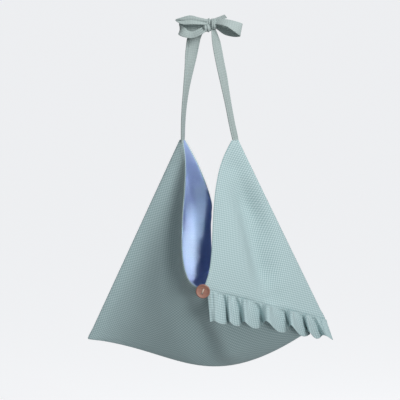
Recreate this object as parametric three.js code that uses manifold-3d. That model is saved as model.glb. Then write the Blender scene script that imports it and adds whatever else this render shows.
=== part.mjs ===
// Folded "origami" cloth bag, hanging by two straps that are tied in a bow.
// The body is one lined strip of cloth, three squares long, folded into six triangles.
// Millimetres, +Z up, the front faces -Y. The origin is the hang point under the knot.
import * as THREE from 'three';
import { mergeVertices } from 'three/addons/utils/BufferGeometryUtils.js';
import Module from 'manifold-3d';

const wasm = await Module();
wasm.setup();

// Heights below the hang point, and reach to each side of it
const STRAP_DROP = 166;
const LEFT_PEAK_REACH = 42;
const RIGHT_PEAK_REACH = 40;
const LEFT_CORNER_REACH = 185;
const LEFT_CORNER_DROP = 467;
const RIGHT_CORNER_REACH = 176;
const RIGHT_CORNER_DROP = 437;
const NOTCH_DROP = 374;
const NOTCH_HALF_DEPTH = 105;
const FRONT_NOTCH_SHIFT = -10;
const BACK_NOTCH_SHIFT = 6;
const BOTTOM_LEFT_SAG = 27;
const BOTTOM_RIGHT_SAG = 112;

// How the cloth hangs between its corners
const MOUTH_OVERHANG = 24;
const MOUTH_BEND = 12;
const FRONT_MOUTH_INSWEEP = 37.6;
const FRONT_MOUTH_HOLD = 17.6;
const BACK_MOUTH_INSWEEP = 34;
const BACK_MOUTH_HOLD = 10.4;
const FOLD_HOLLOW = 34;
const SIDE_PANEL_HOLLOW = 15;
const SIDE_PANEL_CROWN = 7;
const BASE_PANEL_CROWN = 16;

// Soft folds, across their run
const FRONT_VALLEY_WIDTH = 30;
const FRONT_VALLEY_DEPTH = 10;
const FRONT_RIDGE_WIDTH = 19;
const FRONT_RIDGE_HEIGHT = 11;
const BACK_RIDGE_WIDTH = 34;
const BACK_RIDGE_HEIGHT = 8;
const RIGHT_VALLEY_WIDTH = 32;
const RIGHT_VALLEY_DEPTH = 16;
const FOLD_MARGIN = 34;

// Cloth
const SQUARE_SIDE = 240;
const OUTER_THICKNESS = 1.2;
const LINING_THICKNESS = 0.8;
const FIT_GAP = 0.3;
const LINING_SETBACK = 1.5;
const NOTCH_CUT = 3;

// Straps and bow
const STRAP_WIDTH = 20;
const STRAP_THICKNESS = 2.4;
const STRAP_END_RADIUS = 8;
const KNOT_REACH = 9;
const KNOT_LENGTH = 10.3;
const KNOT_RADIUS = 7;
const KNOT_SQUASH = 0.9;
const WRAP_LENGTH = 8.4;
const WRAP_RADIUS = 7.5;
const LEFT_LOOP_REACH = 37;
const RIGHT_LOOP_REACH = 39;
const LOOP_WIDTH = 17;
const LOOP_SPREAD = 8;
const LEFT_TAIL_LENGTH = 42;
const RIGHT_TAIL_LENGTH = 16;
const TAIL_WIDTH = 13;

// Ruffle
const RUFFLE_DROP = 47;
const RUFFLE_END_DROP = 37;
const RUFFLE_START = 9;
const RUFFLE_THICKNESS = 0.9;
const RUFFLE_WAVE = 12;
const RUFFLE_SEAM_WAVE = 2.5;
const RUFFLE_HEM_RISE = 11;
const RUFFLE_LEAN = 0.34;
const RUFFLE_LEAN_LIMIT = 0.85;
const RUFFLE_FAN_START = 0.28;
const RUFFLE_FAN_END = 0.46;
const RUFFLE_ROLL = 0.85;
const RUFFLE_TURN = 0.15;
const FLUTE_WIDTHS = [0.85, 0.65, 1.0, 1.45, 1.05, 0.6, 0.8];
const FLUTE_DEPTHS = [0.2, 0.6, 0.7, 1.2, 1.4, 0.9, 0.8, 0.5];
const LAST_FLUTE_SHARE = 0.6;

// Button
const BUTTON_DIAMETER = 21.5;
const BUTTON_THICKNESS = 4;
const BUTTON_RIM = 2.6;
const BUTTON_DISH = 1.1;
const BUTTON_HOLE_DIAMETER = 2.6;
const BUTTON_HOLE_SPACING = 6.6;
const BUTTON_HOLE_TILT = 0.35;
const THREAD_DIAMETER = 1.6;
const THREAD_SHANK = 1.2;

// Facets
const PANEL_ROWS = 12;
const PANEL_COLUMNS = 12;
const RIBBON_STEPS = 22;
const STEPS_PER_FLUTE = 12;
const RUFFLE_ROWS = 5;
const ROUND_STEPS = 40;

const mix = THREE.MathUtils.lerp;
const ease = THREE.MathUtils.smoothstep;
const clamp = THREE.MathUtils.clamp;

const UP = new THREE.Vector3(0, 0, 1);
const BAG_MIDDLE = new THREE.Vector3(0, 0, -(NOTCH_DROP + LEFT_CORNER_DROP) / 2);

const point = (x, y, z) => new THREE.Vector3(x, y, z);

function cloth(colour, roughness) {
  return new THREE.MeshStandardMaterial({ color: colour, roughness, metalness: 0 });
}

const outerCloth = cloth(0xa9c3c2, 0.85);
const liningCloth = cloth(0x7f9bd0, 0.85);
const strapCloth = cloth(0xb9cbca, 0.85);
const buttonWood = cloth(0x92695c, 0.55);
const threadCotton = cloth(0xd8c6b6, 0.9);

// Corners of the six triangles: two peaks, two notches and two bottom corners
const corners = {
  leftPeak: point(-LEFT_PEAK_REACH, 0, -STRAP_DROP),
  rightPeak: point(RIGHT_PEAK_REACH, 0, -STRAP_DROP),
  frontNotch: point(FRONT_NOTCH_SHIFT, -NOTCH_HALF_DEPTH, -NOTCH_DROP),
  backNotch: point(BACK_NOTCH_SHIFT, NOTCH_HALF_DEPTH, -NOTCH_DROP),
  leftCorner: point(-LEFT_CORNER_REACH, 0, -LEFT_CORNER_DROP),
  rightCorner: point(RIGHT_CORNER_REACH, 0, -RIGHT_CORNER_DROP),
};

function between(from, to, share, dx = 0, dy = 0, dz = 0) {
  const place = corners[from].clone().lerp(corners[to], share);
  return place.add(point(dx, dy, dz));
}

// Straight line between two corners
function straightEdge(from, to) {
  return new THREE.LineCurve3(corners[from], corners[to]);
}

// Mouth edge that hangs straight down from its peak and turns late into the notch
function overhangingEdge(peak, notch, side) {
  const first = between(peak, notch, 0.35);
  first.x = corners[peak].x - side * MOUTH_BEND;
  const last = between(peak, notch, 0.92);
  last.x = corners[peak].x + side * MOUTH_OVERHANG;
  last.z = corners[notch].z;
  return new THREE.CubicBezierCurve3(corners[peak], first, last, corners[notch]);
}

// Mouth edge that sweeps in from its peak and then hangs down to the notch
function insweepingEdge(peak, notch, [turn, insweep], [settle, hold]) {
  const first = between(peak, notch, turn, insweep);
  const last = between(peak, notch, settle, hold);
  return new THREE.CubicBezierCurve3(corners[peak], first, last, corners[notch]);
}

// Soft fold from a notch to a bottom corner, hollow towards the inside of the bag
function softFold(notch, corner, inward) {
  const first = between(notch, corner, 0.3, 0, inward * FOLD_HOLLOW, -FOLD_HOLLOW * 0.4);
  const last = between(notch, corner, 0.68, 0, inward * FOLD_HOLLOW, -FOLD_HOLLOW * 0.4);
  return new THREE.CubicBezierCurve3(corners[notch], first, last, corners[corner]);
}

// Bottom line of the bag, sagging most in the middle between the two bottom corners
function bottomLine() {
  const first = between('leftCorner', 'rightCorner', 0.41, 0, 0, -BOTTOM_LEFT_SAG);
  const last = between('leftCorner', 'rightCorner', 0.5, 0, 0, -BOTTOM_RIGHT_SAG);
  return new THREE.CubicBezierCurve3(corners.leftCorner, first, last, corners.rightCorner);
}

const edges = {
  'leftPeak-frontNotch': { curve: overhangingEdge('leftPeak', 'frontNotch', -1) },
  'rightPeak-frontNotch': {
    curve: insweepingEdge(
      'rightPeak', 'frontNotch', [0.34, -FRONT_MOUTH_INSWEEP], [0.78, FRONT_MOUTH_HOLD]),
  },
  'leftPeak-backNotch': {
    curve: insweepingEdge(
      'leftPeak', 'backNotch', [0.55, BACK_MOUTH_INSWEEP], [0.56, BACK_MOUTH_HOLD]),
  },
  'rightPeak-backNotch': { curve: overhangingEdge('rightPeak', 'backNotch', 1) },
  'leftPeak-leftCorner': { curve: straightEdge('leftPeak', 'leftCorner') },
  'rightPeak-rightCorner': { curve: straightEdge('rightPeak', 'rightCorner') },
  'frontNotch-leftCorner': { curve: softFold('frontNotch', 'leftCorner', 1) },
  'frontNotch-rightCorner': { curve: straightEdge('frontNotch', 'rightCorner') },
  'backNotch-leftCorner': { curve: straightEdge('backNotch', 'leftCorner') },
  'backNotch-rightCorner': { curve: softFold('backNotch', 'rightCorner', -1) },
  'leftCorner-rightCorner': { curve: bottomLine() },
};

// Each panel runs from its apex to the base between its first and second corner.
// flat holds the three corners on the flat strip, in squares. calm lists the corners
// (0 apex, 1 first, 2 second) opposite an edge that keeps clear of the soft folds.
const panels = {
  left_front: {
    apex: 'leftPeak', first: 'leftCorner', second: 'frontNotch', crown: -SIDE_PANEL_HOLLOW,
    flat: [[0, 1], [1, 0], [1, 1]], calm: [2],
  },
  left_back: {
    apex: 'leftPeak', first: 'leftCorner', second: 'backNotch', crown: SIDE_PANEL_CROWN,
    flat: [[0, 1], [1, 0], [0, 0]], calm: [2, 0],
  },
  base_front: {
    apex: 'frontNotch', first: 'leftCorner', second: 'rightCorner', crown: BASE_PANEL_CROWN,
    flat: [[1, 1], [1, 0], [2, 1]], calm: [0, 1],
  },
  base_back: {
    apex: 'backNotch', first: 'leftCorner', second: 'rightCorner', crown: BASE_PANEL_CROWN,
    flat: [[2, 0], [1, 0], [2, 1]], calm: [0, 2],
  },
  right_front: {
    apex: 'rightPeak', first: 'rightCorner', second: 'frontNotch', crown: SIDE_PANEL_CROWN,
    flat: [[3, 0], [2, 1], [3, 1]], calm: [2, 0],
  },
  right_back: {
    apex: 'rightPeak', first: 'rightCorner', second: 'backNotch', crown: -SIDE_PANEL_HOLLOW,
    flat: [[3, 0], [2, 1], [2, 0]], calm: [2],
  },
};

// Paths of the soft folds over the flat strip, in squares
const softFolds = [
  {
    path: [[0.1, 0.98], [0.5, 0.84], [0.88, 0.8], [1.2, 0.67], [1.48, 0.57]],
    width: FRONT_VALLEY_WIDTH,
    height: -FRONT_VALLEY_DEPTH,
  },
  {
    path: [[1.11, 0.91], [1.25, 0.8], [1.53, 0.6]],
    width: FRONT_RIDGE_WIDTH,
    height: FRONT_RIDGE_HEIGHT,
  },
  {
    path: [[0.06, 0.9], [0.14, 0.15]],
    width: BACK_RIDGE_WIDTH,
    height: BACK_RIDGE_HEIGHT,
  },
  {
    path: [[2.88, 0.22], [2.71, 0.46], [2.61, 0.68], [2.48, 0.93]],
    width: RIGHT_VALLEY_WIDTH,
    height: -RIGHT_VALLEY_DEPTH,
  },
];

function findEdge(from, to) {
  const forward = edges[`${from}-${to}`];
  return { edge: forward ?? edges[`${to}-${from}`], reversed: !forward };
}

function placeOnEdge(from, to, share) {
  const { edge, reversed } = findEdge(from, to);
  return edge.curve.getPointAt(clamp(reversed ? 1 - share : share, 0, 1));
}

// Inward lean of the cloth layers along an edge, through its two ends and its middle
function leanOnEdge(from, to, share) {
  const { edge } = findEdge(from, to);
  const start = leans[from].clone().multiplyScalar((1 - share) * (1 - 2 * share));
  const middle = edge.lean.clone().multiplyScalar(4 * share * (1 - share));
  const end = leans[to].clone().multiplyScalar(share * (2 * share - 1));
  return start.add(middle).add(end);
}

// Triangular patch that meets its three edges: row 0 is the apex, row 1 the base
function patch(panel, row, column, onEdge, corner) {
  const { apex, first, second } = panel;
  const a = 1 - row;
  const b = row * (1 - column);
  const c = row * column;
  const nearApex = onEdge(apex, first, b).add(onEdge(apex, second, c)).sub(corner[apex]);
  const nearFirst = onEdge(first, apex, a).add(onEdge(first, second, c)).sub(corner[first]);
  const nearSecond = onEdge(second, apex, a).add(onEdge(second, first, b)).sub(corner[second]);
  return nearApex.multiplyScalar(a).addScaledVector(nearFirst, b).addScaledVector(nearSecond, c);
}

function outwardOf(panel) {
  const apex = corners[panel.apex];
  const first = corners[panel.first].clone().sub(apex);
  const second = corners[panel.second].clone().sub(apex);
  const normal = first.cross(second).normalize();
  const outside = apex.clone().sub(BAG_MIDDLE).dot(normal);
  return normal.multiplyScalar(Math.sign(outside));
}

// Outer face of the cloth
function facePoint(panel, row, column) {
  const a = 1 - row;
  const b = row * (1 - column);
  const c = row * column;
  const place = patch(panel, row, column, placeOnEdge, corners);
  return place.addScaledVector(outwardOf(panel), 27 * a * b * c * panel.crown);
}

function faceNormal(panel, row, column) {
  const step = 0.01;
  const up = facePoint(panel, row + step, column).sub(facePoint(panel, row - step, column));
  const across = facePoint(panel, row, column + step).sub(facePoint(panel, row, column - step));
  const normal = up.cross(across).normalize();
  return normal.multiplyScalar(Math.sign(normal.dot(outwardOf(panel))));
}

// Place of an edge's middle or of a corner in a panel's rows and columns
function rowAndColumn(panel, names) {
  const weight = (name) => (names.includes(name) ? 1 / names.length : 0);
  const row = Math.min(Math.max(1 - weight(panel.apex), 0.06), 0.94);
  const base = weight(panel.first) + weight(panel.second);
  const column = base > 0 ? weight(panel.second) / base : 0.5;
  return [row, Math.min(Math.max(column, 0.06), 0.94)];
}

// Vector that moves a point one unit in from every panel that meets there
function sharedLean(names) {
  const meeting = Object.values(panels).filter((panel) => {
    return names.every((name) => [panel.apex, panel.first, panel.second].includes(name));
  });
  const sum = point(0, 0, 0);
  for (const panel of meeting) sum.add(faceNormal(panel, ...rowAndColumn(panel, names)));
  sum.divideScalar(meeting.length);
  return sum.divideScalar(-sum.lengthSq());
}

const leans = {};
for (const name of Object.keys(corners)) leans[name] = sharedLean([name]);
for (const [name, edge] of Object.entries(edges)) edge.lean = sharedLean(name.split('-'));

// Rise of one soft fold at a place on the flat strip, gentler at both ends of its path
function foldRise({ path, width, height }, place) {
  let nearest = Infinity;
  let along = 0;
  for (let part = 0; part + 1 < path.length; part += 1) {
    const line = new THREE.Line3(point(...path[part], 0), point(...path[part + 1], 0));
    const share = line.closestPointToPointParameter(place, true);
    const away = line.at(share, point(0, 0, 0)).distanceTo(place);
    if (away < nearest) along = (part + share) / (path.length - 1);
    nearest = Math.min(nearest, away);
  }
  const taper = mix(0.35, 1, ease(along, 0, 0.3) * (1 - ease(along, 0.8, 1)));
  return height * taper * Math.exp(-((nearest * SQUARE_SIDE / width) ** 2));
}

// Rise of all soft folds in a panel, which fades out at its creases and seams
function riseOf(panel, row, column) {
  const weights = [1 - row, row * (1 - column), row * column];
  const place = point(0, 0, 0);
  weights.forEach((weight, k) => place.addScaledVector(point(...panel.flat[k], 0), weight));
  const rise = softFolds.reduce((sum, fold) => sum + foldRise(fold, place), 0);
  return panel.calm.reduce((left, k) => left * ease(weights[k] * SQUARE_SIDE, 0, FOLD_MARGIN), rise);
}

function layerPoint(panel, row, column, depth) {
  const lean = patch(panel, row, column, leanOnEdge, leans);
  return facePoint(panel, row, column).addScaledVector(lean, depth - riseOf(panel, row, column));
}

// Row at which a peak panel clears the round strap end by a given distance
function rowClearOf(panel, column, depth, distance) {
  let low = 0;
  let high = 0.5;
  for (let turn = 0; turn < 30; turn += 1) {
    const middle = (low + high) / 2;
    const place = layerPoint(panel, middle, column, depth).sub(corners[panel.apex]);
    if (Math.hypot(place.y, place.z) < distance) low = middle;
    else high = middle;
  }
  return high;
}

// Closed geometry from rings or grids of points, turned so that its faces point out
function closedGeometry(points, triangles) {
  let volume = 0;
  for (const [a, b, c] of triangles) {
    volume += points[a].dot(points[b].clone().cross(points[c]));
  }
  const positions = new Float32Array(points.flatMap((place) => place.toArray()));
  const order = volume < 0 ? triangles.map(([a, b, c]) => [a, c, b]) : triangles;
  const geometry = new THREE.BufferGeometry();
  geometry.setAttribute('position', new THREE.BufferAttribute(positions, 3));
  geometry.setIndex(order.flat());
  return geometry;
}

// Solid between two grids of points with the same rows and columns
function solidBetween(outer, inner) {
  const rows = outer.length;
  const columns = outer[0].length;
  const points = [...outer.flat(), ...inner.flat()];
  const at = (side, row, column) => side * rows * columns + row * columns + column;
  const triangles = [];
  const quad = (a, b, c, d) => triangles.push([a, b, c], [a, c, d]);
  for (let r = 0; r + 1 < rows; r += 1) {
    for (let c = 0; c + 1 < columns; c += 1) {
      quad(at(0, r, c), at(0, r, c + 1), at(0, r + 1, c + 1), at(0, r + 1, c));
      quad(at(1, r, c), at(1, r + 1, c), at(1, r + 1, c + 1), at(1, r, c + 1));
    }
    quad(at(0, r, 0), at(0, r + 1, 0), at(1, r + 1, 0), at(1, r, 0));
    quad(at(0, r + 1, columns - 1), at(0, r, columns - 1), at(1, r, columns - 1), at(1, r + 1, columns - 1));
  }
  for (let c = 0; c + 1 < columns; c += 1) {
    quad(at(0, 0, c + 1), at(0, 0, c), at(1, 0, c), at(1, 0, c + 1));
    quad(at(0, rows - 1, c), at(0, rows - 1, c + 1), at(1, rows - 1, c + 1), at(1, rows - 1, c));
  }
  return closedGeometry(points, triangles);
}

// Sine of the angle in a base corner of a panel
function sineAt(panel, corner, other) {
  const toApex = corners[panel.apex].clone().sub(corners[corner]).normalize();
  const alongBase = corners[other].clone().sub(corners[corner]).normalize();
  return toApex.cross(alongBase).length();
}

// One cloth layer of a panel, set back from its creases and from the mouth edge
function panelLayer(panel, nearDepth, farDepth, mouthSetback) {
  const baseWidth = corners[panel.first].distanceTo(corners[panel.second]);
  const firstSine = sineAt(panel, panel.first, panel.second);
  const secondSine = sineAt(panel, panel.second, panel.first);
  const height = corners[panel.apex].distanceTo(corners[panel.first]) * firstSine;
  const atPeak = panel.apex.endsWith('Peak');
  const lastRow = 1 - FIT_GAP / 2 / height;
  const secondSetback = atPeak ? mouthSetback : FIT_GAP / 2;
  const layer = (depth) => {
    const grid = [];
    for (let r = 0; r <= PANEL_ROWS; r += 1) {
      const line = [];
      for (let c = 0; c <= PANEL_COLUMNS; c += 1) {
        const share = c / PANEL_COLUMNS;
        const clear = STRAP_END_RADIUS + FIT_GAP + mouthSetback;
        const firstRow = atPeak ? rowClearOf(panel, share, depth, clear) : NOTCH_CUT / height;
        const row = firstRow + (lastRow - firstRow) * (r / PANEL_ROWS);
        const from = FIT_GAP / 2 / (row * baseWidth * firstSine);
        const to = 1 - secondSetback / (row * baseWidth * secondSine);
        line.push(layerPoint(panel, row, from + (to - from) * share, depth));
      }
      grid.push(line);
    }
    return grid;
  };
  return solidBetween(layer(nearDepth), layer(farDepth));
}

function addMesh(group, name, geometry, material) {
  const mesh = new THREE.Mesh(geometry, material);
  mesh.name = name;
  group.add(mesh);
  return mesh;
}

function bagBody() {
  const group = new THREE.Group();
  const liningStart = OUTER_THICKNESS + FIT_GAP;
  const liningEnd = liningStart + LINING_THICKNESS;
  for (const [name, panel] of Object.entries(panels)) {
    addMesh(group, `outer_${name}`, panelLayer(panel, 0, OUTER_THICKNESS, 0), outerCloth);
    const lining = panelLayer(panel, liningStart, liningEnd, LINING_SETBACK);
    addMesh(group, `lining_${name}`, lining, liningCloth);
  }
  return group;
}

// Flat band swept through stations of centre, direction across, width and thickness
function ribbon(stations) {
  const section = [[-0.5, 0], [-0.44, -0.5], [0.44, -0.5], [0.5, 0], [0.44, 0.5], [-0.44, 0.5]];
  const points = [];
  const triangles = [];
  stations.forEach((station, index) => {
    const before = stations[Math.max(index - 1, 0)].centre;
    const after = stations[Math.min(index + 1, stations.length - 1)].centre;
    const run = after.clone().sub(before).normalize();
    const across = station.across.clone().addScaledVector(run, -station.across.dot(run)).normalize();
    const out = run.clone().cross(across);
    for (const [side, lift] of section) {
      const place = station.centre.clone().addScaledVector(across, side * station.width);
      points.push(place.addScaledVector(out, lift * station.thickness));
    }
  });
  const sides = section.length;
  for (let s = 0; s + 1 < stations.length; s += 1) {
    for (let k = 0; k < sides; k += 1) {
      const next = (k + 1) % sides;
      triangles.push([s * sides + k, s * sides + next, (s + 1) * sides + next]);
      triangles.push([s * sides + k, (s + 1) * sides + next, (s + 1) * sides + k]);
    }
  }
  const end = (stations.length - 1) * sides;
  for (let k = 1; k + 1 < sides; k += 1) {
    triangles.push([0, k + 1, k]);
    triangles.push([end, end + k, end + k + 1]);
  }
  return closedGeometry(points, triangles);
}

// Stations along a smooth path, with the width and direction across given as functions of the share
function stationsAlong(path, across, width, thickness) {
  const curve = new THREE.CatmullRomCurve3(path, false, 'centripetal');
  const stations = [];
  for (let step = 0; step <= RIBBON_STEPS; step += 1) {
    const share = step / RIBBON_STEPS;
    stations.push({
      centre: curve.getPointAt(share),
      across: across(share),
      width: width(share),
      thickness,
    });
  }
  return stations;
}

// Strap that leaves the knot gathered, dips into its fall and turns edge-on into its peak
function strap(path, topWidth, topDip, turnFrom, turnTo) {
  const length = new THREE.CatmullRomCurve3(path, false, 'centripetal').getLength();
  const across = (share) => {
    const turn = mix(turnFrom, turnTo, ease(share, 0, 0.9));
    return point(Math.cos(turn), Math.sin(turn), -topDip * (1 - ease(share, 0, 0.14)));
  };
  const width = (share) => {
    const gather = mix(topWidth, STRAP_WIDTH, ease(share, 0, 0.12));
    const taper = mix(gather, 2 * STRAP_END_RADIUS, ease(share, 0.6, 0.95));
    const toEnd = Math.max(STRAP_END_RADIUS - (1 - share) * length, 0);
    return taper * Math.sqrt(Math.max(1 - (toEnd / STRAP_END_RADIUS) ** 2, 0.04));
  };
  return ribbon(stationsAlong(path, across, width, STRAP_THICKNESS));
}

// The end of a strap is round about the line through both peaks
function strapEnd(peak) {
  return corners[peak].clone().addScaledVector(UP, -STRAP_END_RADIUS);
}

const knotLeft = -KNOT_REACH;
const wrapRight = knotLeft + KNOT_LENGTH + FIT_GAP + WRAP_LENGTH;

// Rounded barrel of gathered cloth lying along X
function barrel(length, radius, squash) {
  const profile = [];
  const steps = 10;
  for (let step = 0; step <= steps; step += 1) {
    const angle = (Math.PI * step) / steps;
    const bulge = Math.sin(angle) ** 0.55;
    profile.push(new THREE.Vector2(radius * bulge, -Math.cos(angle) * length / 2));
  }
  profile[0].x = 0;
  profile[steps].x = 0;
  const geometry = new THREE.LatheGeometry(profile, 18);
  geometry.rotateZ(-Math.PI / 2);
  geometry.scale(1, squash, 1);
  return geometry;
}

function bowKnot(group) {
  const knot = addMesh(group, 'bow_knot', barrel(KNOT_LENGTH, KNOT_RADIUS, KNOT_SQUASH), strapCloth);
  knot.position.set(knotLeft + KNOT_LENGTH / 2, 0, KNOT_RADIUS);
  const wrap = addMesh(group, 'bow_wrap', barrel(WRAP_LENGTH, WRAP_RADIUS, KNOT_SQUASH), strapCloth);
  wrap.position.set(wrapRight - WRAP_LENGTH / 2, -1, KNOT_RADIUS + 4);
}

// Loop of band that leaves the knot, turns round at its reach and comes back
function bowLoop(start, reach, side, rise, fall) {
  const away = (share, y, z) => start.clone().add(point(side * reach * share, y, z));
  const path = [
    away(0, -LOOP_SPREAD * 0.4, rise * 0.3),
    away(0.45, -LOOP_SPREAD * 0.8, rise * 0.8),
    away(0.85, -LOOP_SPREAD * 0.7, rise * 0.6),
    away(1, 0, (rise - fall) * 0.5),
    away(0.85, LOOP_SPREAD * 0.6, -fall * 0.8),
    away(0.45, LOOP_SPREAD * 0.8, -fall * 0.8),
    away(0, LOOP_SPREAD * 0.5, -fall * 0.4),
  ];
  const across = () => point(0, 0.62, 0.78);
  const width = (share) => mix(LOOP_WIDTH * 0.42, LOOP_WIDTH, Math.sin(Math.PI * share) ** 0.7);
  return ribbon(stationsAlong(path, across, width, STRAP_THICKNESS / 2));
}

// Loose end of a strap that leaves the knot and is cut to a point
function bowTail(start, reach, rise, depth) {
  const path = [
    start,
    start.clone().add(point(reach * 0.5, depth * 0.7, rise * 0.6)),
    start.clone().add(point(reach, depth, rise)),
  ];
  const across = () => point(0, 0.3, 0.95);
  const width = (share) => {
    const gathered = mix(TAIL_WIDTH * 0.35, TAIL_WIDTH, ease(share, 0, 0.45));
    return gathered * mix(1, 0.12, ease(share, 0.55, 1));
  };
  return ribbon(stationsAlong(path, across, width, STRAP_THICKNESS / 2));
}

function handle() {
  const group = new THREE.Group();
  bowKnot(group);
  const knotSide = knotLeft - FIT_GAP;
  const wrapSide = wrapRight + FIT_GAP;

  const knotBack = KNOT_RADIUS * KNOT_SQUASH + FIT_GAP + STRAP_THICKNESS / 2;
  const behindLoop = LOOP_SPREAD + LOOP_WIDTH * 0.31;
  const leftPath = [
    point(knotLeft + KNOT_LENGTH / 2, knotBack, KNOT_RADIUS),
    point(knotLeft - STRAP_WIDTH * 0.3, behindLoop * 0.93, KNOT_RADIUS * 0.5),
    point(knotLeft - STRAP_WIDTH * 0.72, behindLoop, -STRAP_WIDTH * 0.45),
    point(mix(knotLeft, -LEFT_PEAK_REACH, 0.59), behindLoop * 0.7, -STRAP_DROP * 0.265),
    point(mix(knotLeft, -LEFT_PEAK_REACH, 0.82), behindLoop * 0.2, -STRAP_DROP * 0.55),
    corners.leftPeak,
    strapEnd('leftPeak'),
  ];
  addMesh(group, 'left_strap', strap(leftPath, STRAP_WIDTH * 0.4, 3, 0, 1.35), strapCloth);

  const rightPath = [
    point(wrapRight - 4, -1, KNOT_RADIUS * 0.35),
    point(wrapRight, 0, -10),
    point(mix(wrapRight, RIGHT_PEAK_REACH, 0.4), 0, -STRAP_DROP * 0.4),
    point(mix(wrapRight, RIGHT_PEAK_REACH, 0.72), 0, -STRAP_DROP * 0.7),
    corners.rightPeak,
    strapEnd('rightPeak'),
  ];
  addMesh(group, 'right_strap', strap(rightPath, STRAP_WIDTH * 0.35, 0, 0.85, 1.3), strapCloth);

  const leftStart = point(knotSide, 0, KNOT_RADIUS * 0.45);
  addMesh(group, 'bow_left_loop', bowLoop(leftStart, LEFT_LOOP_REACH, -1, 1, 8), strapCloth);
  const rightStart = point(wrapSide, 0, KNOT_RADIUS + 3);
  addMesh(group, 'bow_right_loop', bowLoop(rightStart, RIGHT_LOOP_REACH, 1, 6, 12), strapCloth);
  const leftTail = bowTail(point(knotSide, -3, KNOT_RADIUS * 1.5), -LEFT_TAIL_LENGTH, 6, -9);
  addMesh(group, 'bow_left_tail', leftTail, strapCloth);
  const rightTail = bowTail(point(wrapSide, 2, KNOT_RADIUS * 1.9), RIGHT_TAIL_LENGTH, 7, 6);
  addMesh(group, 'bow_right_tail', rightTail, strapCloth);
  return group;
}

// Place among the flutes of the ruffle, counted from its start, at a share of its length
function fluteAt(share) {
  const total = FLUTE_WIDTHS.reduce((sum, width) => sum + width, 0);
  const last = FLUTE_WIDTHS.length - 1;
  let left = clamp(share, 0, 1) * total;
  let flute = 0;
  while (flute < last && left > FLUTE_WIDTHS[flute]) {
    left -= FLUTE_WIDTHS[flute];
    flute += 1;
  }
  return flute + (left / FLUTE_WIDTHS[flute]) * (flute === last ? LAST_FLUTE_SHARE : 1);
}

// Gathered frill that hangs from the front seam, in flutes that deepen towards its hem
function ruffle() {
  const seamLean = findEdge('frontNotch', 'rightCorner').edge.lean;
  const lift = seamLean.clone().multiplyScalar(-(FIT_GAP + RUFFLE_THICKNESS * 0.75));
  const start = corners.frontNotch.clone().add(lift);
  const seam = corners.rightCorner.clone().add(lift).sub(start);
  const run = seam.clone().normalize();
  const out = run.clone().cross(UP).normalize();
  const down = run.clone().cross(out).normalize();
  down.multiplyScalar(Math.sign(-down.z));
  const front = point(RUFFLE_TURN, -1, 0).normalize();
  const firstShare = RUFFLE_START / seam.length();
  const columns = FLUTE_WIDTHS.length * STEPS_PER_FLUTE;
  const sheetPoint = (share, drop) => {
    const flute = fluteAt(share);
    const depth = mix(FLUTE_DEPTHS[Math.floor(flute)], FLUTE_DEPTHS[Math.ceil(flute)], flute % 1);
    const crest = -Math.cos(2 * Math.PI * flute);
    const wave = mix(RUFFLE_SEAM_WAVE, RUFFLE_WAVE, Math.max(drop, 0) ** 0.7) * depth * crest;
    const rise = RUFFLE_HEM_RISE * drop ** 2 * depth * (1 - crest) / 2;
    const reach = mix(RUFFLE_DROP, RUFFLE_END_DROP, share) * drop - rise;
    const flare = clamp(RUFFLE_LEAN * reach + wave, 0, RUFFLE_LEAN_LIMIT * reach);
    const fan = mix(RUFFLE_FAN_START, RUFFLE_FAN_END, share) * reach - RUFFLE_ROLL * wave;
    const place = start.clone().addScaledVector(run, mix(firstShare, 1, share) * seam.length() + fan);
    place.addScaledVector(down, Math.sqrt(reach ** 2 - flare ** 2));
    return place.addScaledVector(front, flare);
  };
  const layer = (side) => {
    const grid = [];
    for (let r = 0; r <= RUFFLE_ROWS; r += 1) {
      const line = [];
      const drop = mix(0.01, 1, r / RUFFLE_ROWS);
      for (let c = 0; c <= columns; c += 1) {
        const share = c / columns;
        const step = 0.1 / columns;
        const across = sheetPoint(share + step, drop).sub(sheetPoint(share - step, drop));
        const fall = sheetPoint(share, drop + 0.01).sub(sheetPoint(share, drop - 0.01));
        const normal = across.cross(fall).normalize();
        line.push(sheetPoint(share, drop).addScaledVector(normal, side * RUFFLE_THICKNESS / 2));
      }
      grid.push(line);
    }
    return grid;
  };
  return solidBetween(layer(1), layer(-1));
}

// Solid for joining and cutting, made from a closed geometry
function toSolid(geometry) {
  const bare = geometry.clone();
  bare.deleteAttribute('normal');
  bare.deleteAttribute('uv');
  const merged = mergeVertices(bare, 1e-4);
  const vertProperties = new Float32Array(merged.attributes.position.array);
  const triVerts = new Uint32Array(merged.index.array);
  return new wasm.Manifold(new wasm.Mesh({ numProp: 3, vertProperties, triVerts }));
}

function fromSolid(solid) {
  const mesh = solid.getMesh();
  const geometry = new THREE.BufferGeometry();
  geometry.setAttribute('position', new THREE.BufferAttribute(mesh.vertProperties, 3));
  geometry.setIndex(new THREE.BufferAttribute(mesh.triVerts, 1));
  return geometry;
}

const holePlaces = [-1, 1].map((side) => {
  const reach = (side * BUTTON_HOLE_SPACING) / 2;
  return point(reach * Math.sin(BUTTON_HOLE_TILT), 0, reach * Math.cos(BUTTON_HOLE_TILT));
});

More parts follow.
